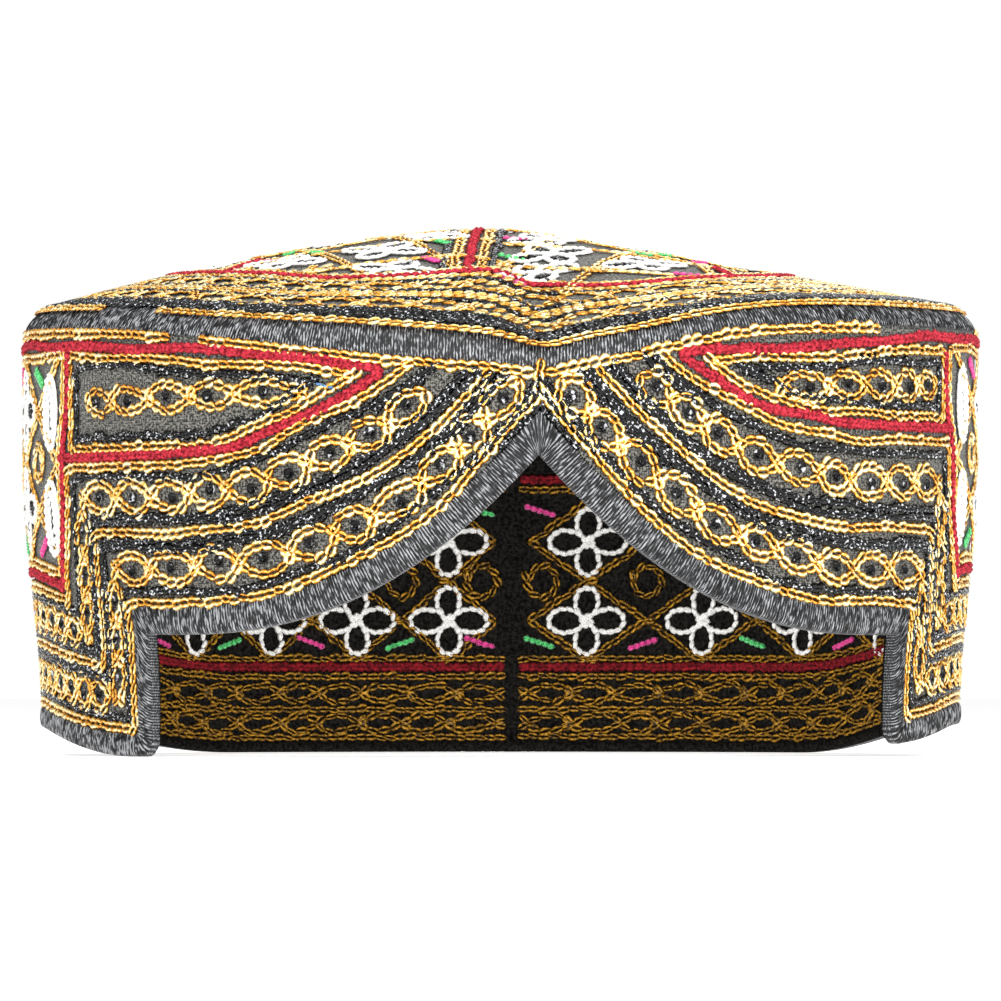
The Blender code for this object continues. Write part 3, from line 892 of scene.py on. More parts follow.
# Rows that follow the rim, by their drop under it. The drop swells or shrinks over each leaf, and the
# rows rise a little towards the sides. Columns of the swell: size, azimuth and spread.
RIM_GOLD_DROP = 0.7 * MM
LEAF_GOLD_DROP = 4.9 * MM
DROP_SWELL = {-1: (-0.8 * MM, 29, 10), 1: (1.5 * MM, 33, 9)}
DROP_RISE = {-1: -0.4 * MM, 1: 1.2 * MM}
DROP_RISE_AZIMUTHS = (42, 74)
# The gold row along the rim runs under the satin for a stretch at each side, between these azimuths.
RIM_GOLD_HIDDEN = {-1: (41, 47), 1: (45, 78)}
# Panel edge: how far past the leg its red side stands, at its top, middle and foot, and between which
# heights it bends.
PANEL_EDGE = {-1: (24.5 * MM, 26.8 * MM, 30.5 * MM), 1: (15.8 * MM, 19.8 * MM, 29.0 * MM)}
PANEL_LOW_BEND = (30 * MM, 52 * MM)
PANEL_HIGH_BEND = (58 * MM, 70 * MM)
# Heights at which the panel's edge is taken: for the end of the leaf, for the rows at its top and foot and
# for its diamonds, and the ends of the gold row beside it.
LEAF_HEIGHT = 66 * MM
PANEL_TOP = 70 * MM
PANEL_LOW = 34 * MM
PANEL_MIDDLE = 50 * MM
PANEL_GOLD = (35 * MM, 77 * MM)
# What the diamonds keep free under and over them, and the levels of their four zigzags' corners.
DIAMOND_MARGINS = (3.0 * MM, 0.8 * MM)
ZIGZAGS = ((0.25, 0.0), (0.25, 0.5), (0.75, 0.5), (0.75, 1.0))
ROW_STEP = 2.15 * MM
# What rows keep free at the middle of the front and beside the back seam.
FRONT_GAP = 1.2 * MM
SEAM_GAP = 1.2 * MM
POINT_GOLD_FOOT = 69.0 * MM
POINT_GOLD_DROP = 0.5 * MM
# Loops over the arch, down the leg and along the hem. Columns: lengths left free at the start and at the
# end, lengths of the first and the last loop, half width. Over the arch the start is given by side.
LOOPS = (
    (0, 1.0 * MM, 8.2 * MM, 11.2 * MM, 2.8 * MM),
    (2.2 * MM, 0, 8.6 * MM, 8.6 * MM, 2.2 * MM),
    (3.2 * MM, 0, 6.6 * MM, 6.6 * MM, 2.8 * MM),
)
LOOP_STARTS = {-1: {"low_loops": 1.2 * MM, "high_loops": 6.5 * MM},
               1: {"low_loops": 1.5 * MM, "high_loops": 4.0 * MM}}
# Loops in each leaf: their number, how far in from the frame they begin, the length of the first and the
# last, and the height of their two ends.
LEAF_LOOPS = {-1: (5, 4.2 * MM, 8.3 * MM, 14.0 * MM, 68.4 * MM, 69.8 * MM),
              1: (5, 1.4 * MM, 7.3 * MM, 11.6 * MM, 72.1 * MM, 71.0 * MM)}
LEAF_LOOP_HALF_WIDTH = 2.3 * MM
PANEL_COLUMNS = {-1: 7, 1: 6}
PANEL_RINGS_RADIUS = 3.0 * MM
STRAY_SEQUIN = (24.1 * MM, 56.0 * MM)
GILT_TURN = MM / 1.5
gold_dice = random.Random(22)

# Gilt metal thread: a flattened brass-coloured wire wound round a yellow core. It is orange in its turns,
# with dark brown painted shade between them and pale painted highlights, and each strand's top ridge is
# lightened as a painted highlight. The turns are finer on the real thread and are drawn about 0.7 mm apart,
# or they would not show.
gilt, tree, shader = new_material("gilt_metal_thread", {"Metallic": 0.5, "Roughness": 0.32})
place = add_node(tree, "ShaderNodeTexCoord")
turns = add_node(tree, "ShaderNodeTexNoise", {"Vector": place.outputs["Object"], "Scale": 1 / GILT_TURN,
                                              "Detail": 2})
tone = add_node(tree, "ShaderNodeAttribute", attribute_name="tone")
crest = add_node(tree, "ShaderNodeAttribute", attribute_name="crest")
# Random tone, the turns, and each strand's top ridge, which is lightened as a painted highlight.
gilt_shade_and_highlights = add_node(tree, "ShaderNodeMath", {0: tone, 1: 0.25, 2: turns}, operation="MULTIPLY_ADD")
gilt_shade_and_highlights = add_node(tree, "ShaderNodeMath", {0: crest, 1: 0.3, 2: gilt_shade_and_highlights}, operation="MULTIPLY_ADD")
tint(tree, shader, gilt_shade_and_highlights, ((0.48, "#6e3d10"), (0.58, "#bd741c"), (0.72, "#f3ab2f"), (0.86, "#ffdc80"),
                           (0.97, "#fff8d0")), turns, 0.6, 0.15 * MM)
GOLD = stitch(open_link, 2.05, 2.2, 0.85, 0.2, 21, gilt)


def panel_edge(side, height):
    """Arc of the red side of the panel at a height."""
    top, middle, foot = PANEL_EDGE[side]
    low_share = 1 - smooth_step(height, *PANEL_LOW_BEND)
    return (LEG_ARC + middle + (top - middle) * smooth_step(height, *PANEL_HIGH_BEND)
            + (foot - middle) * low_share)


def wander(arc, row):
    """How far a hand-sewn row strays from its line at an arc. Each row strays in its own way."""
    fast = math.sin(arc / WANDER_LENGTH + row * FAST_START)
    return WANDER * (fast + math.sin(arc / WANDER_LENGTH * SLOW_WANDER + row * SLOW_START))


def rim_row(side, drop, arc):
    """Height at an arc of a row that runs at a drop under the rim."""
    azimuth = azimuth_of(arc)
    height = rim_height(side * azimuth) - drop
    if drop > RIM_GOLD_DROP:
        rise = DROP_RISE[side] * smooth_step(azimuth, *DROP_RISE_AZIMUTHS)
        height += rise - bell(azimuth, *DROP_SWELL[side])
        height += wander(side * arc, drop)
    return height


def along_rim(side, drop, first, last):
    """A row at a drop under the rim, from one arc to another."""
    return [(side * arc, rim_row(side, drop, arc)) for arc in evenly(first, last, ROW_PLACES)]


def along_hem(side, rise, first):
    """A row at a height above the hem, from an arc to the back seam."""
    return [(side * arc, hem_height(side * azimuth_of(arc)) + rise)
            for arc in evenly(first, seam_edge(side), ROW_PLACES)]


def seam_edge(side):
    """Arc at which the rows end, beside the back seam."""
    return SEAM_ARCS[side] - SEAM_HALF_WIDTH - SEAM_GAP


def row_shift(side, offset, azimuth):
    """How much farther from the arch than its nominal offset a row runs at an azimuth."""
    if offset == EDGE_ROWS["low_gold"][0]:
        return POINT_SWELL * (1 - smooth_step(azimuth, *POINT_SWELL_AZIMUTHS))
    if side < 0:
        pull = LEFT_PULL * portion(offset, *LEFT_PULL_GROWTH)
        swell = LEFT_SWELL * portion(offset, *LEFT_SWELL_GROWTH)
        return (bell(azimuth, swell, *LEFT_SWELL_PLACE)
                - pull * (1 - smooth_step(azimuth, *LEFT_PULL_AZIMUTHS)))
    share = portion(offset, *RIGHT_GROWTH)
    return share * (RIGHT_SPREAD * smooth_step(azimuth, *RIGHT_SPREAD_AZIMUTHS) - RIGHT_PULL)


def arch_row(side, offset, under=RIM_GOLD_DROP):
    """The part of a row that follows the arch, from its point or from the rim down to its foot."""
    line = []
    for arc in evenly(-ARCH_RUN_ON, ARCH_ARC, ARCH_STEP):
        across, up = arch_normal(arc)
        away = offset + row_shift(side, offset, azimuth_of(arc + offset * across))
        away += wander(arc, side * offset)
        place = (arc + away * across, arch_height(arc) + away * up)
        if place[0] >= 0 and place[1] <= rim_row(side, under, place[0]):
            line.append((side * place[0], place[1]))
    return line


def edge_row(side, name, under=RIM_GOLD_DROP):
    """A row that follows the cap's edge, in three stretches: over the arch, down the leg, along the hem."""
    offset, left, right, above_hem = EDGE_ROWS[name]
    beside, lean = left if side < 0 else right

    def column(height):
        """Arc of the row beside the leg at a height."""
        if name in ("red", "high_gold"):
            return panel_edge(side, height) - (ROW_STEP if name == "high_gold" else 0)
        return LEG_ARC + beside - lean * (height - LEAN_FROM_HEIGHT)

    spring = SPRING_HEIGHT + offset + row_shift(side, offset, SPRING_AZIMUTH)
    foot = hem_height(side * azimuth_of(LEG_ARC + beside)) + above_hem
    return (arch_row(side, offset, under) + [(side * column(spring), spring)],
            [(side * column(height), height) for height in evenly(spring, foot, LEG_PLACES)],
            along_hem(side, above_hem, column(foot)))


def whole_row(side, name):
    """A row that follows the edge from the arch's point to the back seam."""
    arch, leg, hem = edge_row(side, name)
    return dense(arch + leg[1:] + hem[1:])


def leaf_frame(side, offset, drop, inset):
    """The closed leaf shape over the arch, between a row that follows the arch and one under the rim."""
    end = panel_edge(side, LEAF_HEIGHT) - inset
    low = [place for place in arch_row(side, offset, drop) if side * place[0] < end - 1 * MM]
    high = along_rim(side, drop, side * low[0][0], end)
    return dense(high + [(side * end, low[-1][1])] + low[::-1] + [high[0]])


def shortened(line, start, end):
    """The line without a length at its start and at its end."""
    line = dense(line, FINE_STEP)
    for trim in (start, end):
        gone = 0
        while gone < trim and len(line) > 2:
            gone += math.hypot(line[1][0] - line[0][0], line[1][1] - line[0][1])
            line = line[1:]
        line = line[::-1]
    return line


def circle(centre, radius, points=20):
    """A closed round line about a place."""
    turns = [2 * math.pi * i / points for i in range(points + 1)]
    return [(centre[0] + radius * math.cos(t), centre[1] + radius * math.sin(t)) for t in turns]


def panel_grid(side):
    """Places of the panel's diamonds: arcs of their middles and corners in turn, from the panel's edge,
    which cuts the first diamonds in half, and the height of a level at an arc."""
    first, last = panel_edge(side, PANEL_MIDDLE) + ROW_STEP, seam_edge(side)
    steps = 2 * PANEL_COLUMNS[side] + 1

    def height_at(arc, level):
        """Height at an arc of a level, from 0 at the diamonds' foot to 1 at their top."""
        low = hem_height(side * azimuth_of(arc)) + PANEL_FOOT + DIAMOND_MARGINS[0]
        high = rim_row(side, LEAF_GOLD_DROP, arc) - DIAMOND_MARGINS[1]
        return low + (high - low) * level

    return [first + (last - first) * i / steps for i in range(steps + 1)], height_at


wall_sequins = [STRAY_SEQUIN]
for side, where in SIDES:
    hidden_from, hidden_to = RIM_GOLD_HIDDEN[side]
    lines = [whole_row(side, name) for name in ("low_gold", "mid_gold", "high_gold")]
    lines += [along_rim(side, RIM_GOLD_DROP, FRONT_GAP, arc_of(hidden_from)),
              along_rim(side, RIM_GOLD_DROP, arc_of(hidden_to), seam_edge(side)),
              leaf_frame(side, LEAF_GOLD_OFFSET, LEAF_GOLD_DROP, ROW_STEP),
              along_rim(side, LEAF_GOLD_DROP, panel_edge(side, PANEL_TOP) + ROW_STEP, seam_edge(side)),
              [(side * (panel_edge(side, h) + ROW_STEP), h) for h in evenly(*PANEL_GOLD, LEG_PLACES)],
              along_hem(side, PANEL_FOOT + ROW_STEP, panel_edge(side, PANEL_LOW) + ROW_STEP)]
    stretches = []
    for row, rim_start in LOOP_STARTS[side].items():
        for line, (start, end, *loop_sizes) in zip(edge_row(side, row), LOOPS):
            stretches.append((shortened(line, start or rim_start, end), *loop_sizes))
    count, margin, end_length, tip_length, end_height, tip_height = LEAF_LOOPS[side]
    end = panel_edge(side, LEAF_HEIGHT) - ROW_STEP * 2 - margin
    reach = count * (end_length + tip_length) / 2
    leaf_line = [(side * (end - reach * t), end_height + (tip_height - end_height) * t)
                 for t in (0, 0.5, 1)]
    stretches.append((leaf_line, end_length, tip_length, LEAF_LOOP_HALF_WIDTH))
    for stretch in stretches:
        strands, middles = looped(*stretch)
        lines += strands
        wall_sequins += middles
    # Zigzags that make two rows of diamonds, and a ring in each cell between them.
    arcs, height_at = panel_grid(side)
    for low, high in ZIGZAGS:
        lines.append(dense([(side * arc, height_at(arc, low if i % 2 else high))
                            for i, arc in enumerate(arcs)]))
    lines += [circle((side * arc, height_at(arc, 0.5)), PANEL_RINGS_RADIUS) for arc in arcs[1:-1:2]]
    sew("gold_wall_" + where, on_wall(lines), GOLD)
point_gold = [(0, height) for height in evenly(POINT_GOLD_FOOT, rim_height(0) - POINT_GOLD_DROP, 1 * MM)]
sew("gold_point", on_wall([point_gold]), GOLD)

# Black rows on the wall: glazed black cotton, chain stitched close beside the gold, on each side of every
# row of loops. They are as black as the cloth's shadows, with small pale painted glints.
BLACK_ROWS = ("low_black", "mid_black", "mid_black_2", "upper_black", "upper_black_2", "high_black")
# Short rows that fill the cloth about the arch's point. Columns: offset, and reach to each side.
POINT_BLACK_ROWS = ((6.4 * MM, 7 * MM), (9.3 * MM, 16 * MM), (16.0 * MM, 22 * MM), (29.4 * MM, 30 * MM),
                    (23.8 * MM, 26 * MM))
POINT_BLACK_FOOT = 60 * MM
LEAF_BLACK_OFFSET = 38.4 * MM
LEAF_BLACK_DROP = 6.9 * MM

# Glazed black thread: deep black, with sharp small painted highlights scattered along it.
jet_painted_glints = fibre_material("black_thread_painted_glints", {"Roughness": 0.3, "Specular IOR Level": 0.3}, MM / 1.7, 2,
                     ((0.60, "#050506"), (0.66, "#d9dce0")), 1.0, 0.2 * MM)
BLACK = stitch(closed_link, 1.8, 1.9, 0.7, 0.25, 31, jet_painted_glints)
for side, where in SIDES:
    lines = [whole_row(side, name) for name in BLACK_ROWS]
    lines += [[(arc, height) for arc, height in arch_row(side, offset)
               if abs(arc) < reach and height > POINT_BLACK_FOOT] for offset, reach in POINT_BLACK_ROWS]
    lines.append(leaf_frame(side, LEAF_BLACK_OFFSET, LEAF_BLACK_DROP, 2 * ROW_STEP))
    sew("black_wall_" + where, on_wall(map(dense, lines)), BLACK)

# Red rows on the wall: soft crimson wool in fat chain stitches that touch each other. They frame the two
# side panels and the leaf shapes over the arch.
RED_DROP = 2.8 * MM
RED_TOP = 79 * MM

# Crimson wool: matt and fuzzy, a little paler along its fibres.
wool = fibre_material("crimson_wool", {"Roughness": 0.9, "Specular IOR Level": 0.2}, MM / 1.5, 3,
                      ((0.36, "#680715"), (0.66, "#da3c4c")), 0.8, 0.15 * MM)
RED = stitch(closed_link, 1.7, 2.3, 1.0, 0.12, 41, wool)
for side, where in SIDES:
    low, _, foot = edge_row(side, "red", RED_DROP)
    panel_side = [(side * panel_edge(side, h), h) for h in evenly(RED_TOP, foot[0][1], 2 * MM)]
    lines = [low, along_rim(side, RED_DROP, side * low[0][0], seam_edge(side)), panel_side + foot]
    sew("red_wall_" + where, on_wall(map(dense, lines)), RED)

# White flowers on the side panels: four petals in each diamond, each a leaf outlined in thick white
# cotton chain stitch round a black middle.
PETAL_HALF_WIDTH = 2.1 * MM
PETAL_POINTS = 14
# A petal's middle and half length in shares of its reach, how far its outer end is fuller than its inner
# one, and where in it the black line lies.
PETAL_MIDDLE, PETAL_HALF = 0.52, 0.46
PETAL_FULLNESS, PETAL_TAPER = 1.12, 0.18
HEART_SHARES = (0.32, 0.55, 0.78)
PANEL_LEVELS = (0.25, 0.75)
PANEL_FLOWER = (9.6 * MM, 7.6 * MM)
HALF_FLOWER_REACH = 4.4 * MM
# Half widths and half heights of the two outlines of the leaf that fills a half diamond.
HALF_FLOWER_OUTLINES = ((3.2 * MM, 6.9 * MM), (1.4 * MM, 4.6 * MM))

# White cotton: bright and matt, with a trace of grey between the fibres.
white = fibre_material("white_cotton_floss", {"Roughness": 0.8}, 0.5 * MM, 2,
                       ((0.3, "#dcdad6"), (0.6, "#fbfaf7")), 0.4)
WHITE = stitch(closed_link, 1.5, 1.9, 0.9, 0.12, 51, white)


def flower(half_across, half_up):
    """Four petals about a middle, left, right, up and down: their outlines, and a line inside each."""
    outlines, hearts = [], []
    for turn, half in ((0, half_across), (90, half_up), (180, half_across), (270, half_up)):
        x, y = math.cos(math.radians(turn)), math.sin(math.radians(turn))
        outline = []
        for i in range(PETAL_POINTS + 1):
            t = 2 * math.pi * i / PETAL_POINTS
            along = half * (PETAL_MIDDLE - PETAL_HALF * math.cos(t))
            out = PETAL_HALF_WIDTH * math.sin(t) * (PETAL_FULLNESS - PETAL_TAPER * math.cos(t))
            outline.append((along * x - out * y, along * y + out * x))
        outlines.append(outline)
        hearts.append([(half * share * x, half * share * y) for share in HEART_SHARES])
    return outlines, hearts


def shifted(lines, across, up):
    """Flat lines moved to another place."""
    return [[(x + across, y + up) for x, y in line] for line in lines]


petals, petal_hearts = [], []
for side in (-1, 1):
    arcs, height_at = panel_grid(side)
    for level in PANEL_LEVELS:
        for arc in arcs[2::2]:
            outlines, hearts = flower(*PANEL_FLOWER)
            petals += shifted(outlines, side * arc, height_at(arc, level))
            petal_hearts += shifted(hearts, side * arc, height_at(arc, level))
        for half_across, half_up in HALF_FLOWER_OUTLINES:
            leaf = [(half_across * x, half_up * y) for x, y in circle((0, 0), 1)]
            petals += shifted([leaf], side * (arcs[0] + HALF_FLOWER_REACH), height_at(arcs[0], level))
sew("white_wall", on_wall(petals), WHITE)
sew("black_petal_hearts", on_wall(petal_hearts), BLACK)

# Bright stitches on the side panels: short satin bars of magenta and green silk in the half diamonds, and
# one stray blue stitch in the left leaf.
BAR_HALF = (2.2 * MM, 1.2 * MM)
# The level of each row of bars, and which colour it begins with.
BAR_LEVELS = ((0.93, 0), (0.07, 1))
BLUE_STITCH = [(-43.0 * MM, 71.2 * MM), (-40.6 * MM, 70.6 * MM)]
BLUE_WIDTH = 0.5 * MM

# Dyed silk floss: saturated and softly shining, darker between the fibres.
silks = {name: fibre_material(name, {"Roughness": 0.45, "Sheen Weight": 0.2}, 0.5 * MM, 2,
                              ((0.35, dark), (0.62, light)), 0.4)
         for name, dark, light in (("magenta_silk", "#b3166c", "#f4409f"),
                                   ("green_silk", "#1f8f3a", "#5fe083"),
                                   ("blue_silk", "#2f6fb5", "#7db4ee"))}


def sew_silk(where, bars, width=2.5 * MM):
    """One piece for each colour of silk: its bars, as paths on the cap."""
    for name, paths in bars.items():
        silk = stitch(closed_link, 1.1, 2.5, 0.8, 0.12, 61, silks[name])
        sew(name + "_" + where, paths, dict(silk, Width=width))


def bar(x, y, half_across, half_up):
    """A short slanting line about a place."""
    return [(x - half_across, y - half_up), (x + half_across, y + half_up)]


wall_bars = {"magenta_silk": [], "green_silk": []}
for side in (-1, 1):
    arcs, height_at = panel_grid(side)
    for i, arc in enumerate(arcs[1:-1:2]):
        for level, first in BAR_LEVELS:
            name = ("magenta_silk", "green_silk")[(i + first + (side < 0)) % 2]
            lean = 1 if (i + first) % 2 else -1
            wall_bars[name].append(bar(side * arc, height_at(arc, level), BAR_HALF[0], lean * BAR_HALF[1]))
sew_silk("wall", {name: on_wall(bars) for name, bars in wall_bars.items()})
sew_silk("wall", {"blue_silk": on_wall([BLUE_STITCH])}, BLUE_WIDTH)

# Sequins: a small black cup of pressed foil in the middle of each loop on the wall, and a stray one. Each
# is sewn down through its hole and tips a little its own way.
SEQUIN_RADIUS = 1.15 * MM
SEQUIN_STAND = 0.12 * MM
SEQUIN_TILT = 0.25
SEQUIN_DEPTH = 0.9 * MM
SEQUIN_TIP = 0.5 * MM
SEQUIN_LIFT = 0.3 * MM
SEQUIN_FOIL = 0.1 * MM
# Share of the radius, and rise in depths, of the hole, the bend and the rim.
SEQUIN_RINGS = ((0.18, 0.0), (0.75, 0.3), (1.0, 0.36))
SEQUIN_SIDES = 10

# Black foil: mirror-like and almost black, crumpled by the press, with a pale crescent or two painted
# on its cup as a reflection of the white sky.
foil = fibre_material("black_foil_painted_reflection", {"Roughness": 0.2, "Specular IOR Level": 0.2}, MM / 0.7, 2,
                      ((0.60, "#040304"), (0.67, "#c9cbcf")), 0)
points, faces = [], []
for arc, height in wall_sequins:
    out = polar(azimuth_of(arc), 1, 0)
    across = Vector((-out.y, out.x, 0))
    middle = wall_point(arc, height, -SEQUIN_STAND)
    tip = Vector([gold_dice.uniform(-SEQUIN_TILT, SEQUIN_TILT) for _ in range(2)])
    first = len(points)
    for layer in (0.0, -SEQUIN_FOIL):
        for share, rise in SEQUIN_RINGS:
            for k in range(SEQUIN_SIDES):
                turn = 2 * math.pi * k / SEQUIN_SIDES
                u, v = share * math.cos(turn), share * math.sin(turn)
                lift = rise * SEQUIN_DEPTH + (u * tip.x + v * tip.y) * SEQUIN_TIP + SEQUIN_LIFT + layer
                points.append(middle + (across * u + Vector((0, 0, 1)) * v) * SEQUIN_RADIUS + out * lift)
    # The under face's points follow the upper face's, both from the hole outwards.
    size, under = SEQUIN_SIDES, SEQUIN_SIDES * len(SEQUIN_RINGS)
    outer = first + under - size
    for a in range(first, outer, size):
        for k in range(size):
            m = (k + 1) % size
            faces.append((a + k, a + size + k, a + size + m, a + m))
            faces.append((a + under + m, a + under + size + m, a + under + size + k, a + under + k))
    for k in range(size):
        m = (k + 1) % size
        faces.append((first + m, first + under + m, first + under + k, first + k))
        faces.append((outer + k, outer + under + k, outer + under + m, outer + m))
new_piece("sequins", "sequin", points, faces, [foil])

# Back seam: the wall's two ends meet under black cotton overcast stitches, close together and slanting
# a little, on the outside and on the inside.
SEAM_PROUD = 0.75 * MM
SEAM_PITCH = 0.62 * MM
SEAM_SLANT = 0.8 * MM
SEAM_SHARES = (-1, -0.92, -0.6, -0.2, 0.2, 0.6, 0.92, 1)
SEAM_INSIDE_SPREAD = 1.25
SEAM_TUCK = 0.4 * MM
# How full the stitches and the gaps between them are, and how far each face's flat map is from the middle.
SEAM_CRESTS = (0.8, 1.1)
SEAM_GAPS = (0.35, 0.6)
SEAM_UV = 5 * MM
seam_dice = random.Random(71)
seam_foot = hem_height(SEAM_AZIMUTH) + HEM_BINDING_WIDTH + SEAM_TUCK
seam_top = rim_height(SEAM_AZIMUTH) - SEAM_TUCK
seam_count = 2 * round((seam_top - seam_foot) / SEAM_PITCH)
points, faces, flat = [], [], []
for i in range(seam_count + 1):
    height = seam_foot + (seam_top - seam_foot) * i / seam_count
    swell = seam_dice.uniform(*(SEAM_CRESTS if i % 2 else SEAM_GAPS))
    for face, shares, spread in ((1, SEAM_SHARES, 1), (-1, SEAM_SHARES[::-1], SEAM_INSIDE_SPREAD)):
        for share in shares:
            proud = SEAM_PROUD * swell * (1 - abs(share) ** 3)
            lean = SEAM_SLANT * share / 2 if 2 < i < seam_count - 2 else 0
            points.append(wall_point(arc_of(SEAM_AZIMUTH) + share * SEAM_HALF_WIDTH * spread, height + lean,
                                     -proud if face > 0 else CLOTH + proud))
            flat.append((height, share * SEAM_HALF_WIDTH + face * SEAM_UV))
size = 2 * len(SEAM_SHARES)
for i in range(seam_count):
    for k in range(size):
        m = (k + 1) % size
        faces.append((i * size + m, i * size + k, (i + 1) * size + k, (i + 1) * size + m))
faces += [tuple(range(size)), tuple(reversed(range(seam_count * size, (seam_count + 1) * size)))]
# The inside stitches take the black with painted shade.
new_piece("seam_stitches", "overcast_seam", points, faces, [jet_painted_glints, shaded_cloth], flat, "back_seam",
          [i for i in range(len(faces)) if i % size >= len(SEAM_SHARES)])

# Crown's rows: a red ring and six red arms divide the crown, with gold chains beside them. Rows of gold
# loops, gold lines and black lines run round between the red ring and the satin ring.
CROWN_CENTRE = (-4.2 * MM, 0.0)
RED_RING_RADIUS = 61.4 * MM
# The ring is not round. Columns: swell, its azimuth and its spread in degrees.
RED_RING_SWELLS = ((2.0 * MM, -33, 8), (-11.8 * MM, 0, 14), (8.8 * MM, 35, 28))
# Red arms. Columns: azimuth at the ring, azimuth and distance from the centre of the inner end, and the
# azimuth that parts the sector before it from the one after.
ARMS = ((-7, -7, 1.5 * MM, -7), (40.5, 47, 58.5 * MM, 47), (113, 113, 50 * MM, 113),
        (175.5, 175.5, 1.5 * MM, 175.5), (238, 238, 50 * MM, 238), (301.5, 294.9, 49 * MM, 302))
# Arms that begin nearer the centre than this have black rows beside them, and the rest have not.
LONG_ARM = 10 * MM
ARM_CLEAR = 0.5 * MM
HUB_RADIUS = 4 * MM
ARM_GOLD_ASIDE = 2.6 * MM
ARM_BLACK_ASIDE = 4.8 * MM
ROWS_OUTER_RADIUS = 88.0 * MM
# Rows outside the red ring, by their share of the way to the satin ring.
CROWN_GOLD_SHARES = (0.09, 0.49, 0.55)
CROWN_LOOP_SHARES = (0.30, 0.755)
CROWN_BLACK_SHARES = (0.17, 0.42, 0.62, 0.88, 0.93, 0.985)
# Rows on the satin ring: turn from its outer side up to the crown, first and last azimuth.
RING_GOLD = (58, -51, 297)
RING_BLACK = (76, 0, 360)
CROWN_LOOP_LENGTH = 9.5 * MM
CROWN_LOOP_HALF_WIDTH = 2.6 * MM
DIAMOND_HALF = (13.0 * MM, 12.5 * MM)
DIAMOND_RADIUS = 40.5 * MM
DIAMOND_MARGIN = 3.0 * MM
DIAMOND_OVERRUN, DIAMOND_STEP = 1.25, 0.08
# Degrees from one place to the next along a round row.
ROUND_STEP = 1.5
RING_STEP = 1.2
RING_LIFT = 0.25 * MM
SECTOR_RING_RADIUS = 1.7 * MM
SECTOR_RING_POINTS = 12
# Half width and half height in millimetres.
SECTOR_BAR_HALF = (1.8, 1.0)
# What fills a sector, in millimetres across from its middle and out from the centre: flowers with their
# half width and half height, a ring, and bars of silk. The two front sectors have their own.
SECTOR_FLOWERS = {
    "front_right": ((-1.4, 36.4, 8.4, 8.0), (-9.7, 47.8, 8.6, 5.6), (11.5, 52.4, 8.4, 6.4),
                    (3.4, 22.2, 6.4, 6.0)),
    "front_left": ((-16.7, 49.1, 8.4, 6.4), (-0.7, 37.9, 8.6, 8.4), (9.9, 53.4, 8.4, 6.4),
                   (1.2, 19.8, 6.4, 6.0)),
    "other": ((-2.0, 39.5, 8.4, 8.4), (-12.6, 49.0, 8.6, 6.6), (11.0, 53.0, 8.4, 6.4),
              (-9.2, 28.6, 4.6, 4.8), (9.2, 28.6, 4.6, 4.8), (0, 21.0, 4.6, 4.6)),
}
SECTOR_RINGS = {"front_right": (1.2, 53.8), "front_left": (-6.1, 55.4), "other": (0, 57.0)}
SECTOR_BARS = {
    "front_right": {"green_silk": ((-9.9, 35.6), (16.5, 38.0)),
                    "magenta_silk": ((-1.3, 19.0), (14.4, 63.8), (-17.0, 51.5))},
    "front_left": {"green_silk": ((5.8, 26.5), (-16.5, 38.0)),
                   "magenta_silk": ((11.9, 43.0), (-22.0, 45.5))},
    "other": {"green_silk": ((-16.5, 38.0), (16.5, 38.0)),
              "magenta_silk": ((-22.0, 45.5), (22.0, 45.5), (0, 29.5))},
}


def on_crown(lines):
    """Lines in plan as paths on the crown's upper face: points, each with the way it faces."""
    paths = []
    for line in lines:
        path = []
        for x, y in line:
            radius, azimuth = math.hypot(x, y), math.degrees(math.atan2(x, -y))
            inner, outer = max(0, radius - 1 * MM), radius + 1 * MM
            slope = (crown_height(outer, azimuth) - crown_height(inner, azimuth)) / (outer - inner)
            facing = (polar(azimuth, -slope, 0) + Vector((0, 0, 1))).normalized()
            path.append((polar(azimuth, radius, crown_height(radius, azimuth)) + facing * LIFT, facing))
        paths.append(path)
    return paths


def crown_ray(azimuth, distance):
    """A place in plan at a distance from the pattern's centre."""
    angle = math.radians(azimuth)
    return CROWN_CENTRE[0] + distance * math.sin(angle), CROWN_CENTRE[1] - distance * math.cos(angle)


def red_ring_radius(azimuth):
    """Distance of the red ring from the pattern's centre."""
    return RED_RING_RADIUS + sum(bell(turn_within(azimuth - middle), swell, 0, spread)
                                 for swell, middle, spread in RED_RING_SWELLS)


def crown_round(share):
    """A closed row round the crown, at a share of the way from the red ring to the satin ring."""
    line = []
    for azimuth in evenly(0, 360, ROUND_STEP):
        angle = math.radians(azimuth)
        along = CROWN_CENTRE[0] * math.sin(angle) - CROWN_CENTRE[1] * math.cos(angle)
        from_axis = CROWN_CENTRE[0] ** 2 + CROWN_CENTRE[1] ** 2
        outer = -along + math.sqrt(along ** 2 + ROWS_OUTER_RADIUS ** 2 - from_axis)
        inner = red_ring_radius(azimuth)
        line.append(crown_ray(azimuth, inner + (outer - inner) * share))
    return line


def on_ring(turn, first, last):
    """A path on the satin ring, at a turn from its outer side up to the crown, between two azimuths."""
    path = []
    turn = math.radians(turn)
    out, up = shoulder(turn)
    for azimuth in map(turn_within, evenly(first, last, RING_STEP)):
        facing = polar(azimuth, math.cos(turn), math.sin(turn))
        height = rim_height(azimuth) + roll_height(azimuth) * up
        place = polar(azimuth, ROLL_INNER_RADIUS + ring_reach * out, height)
        path.append((place + facing * RING_LIFT, facing))
    return path


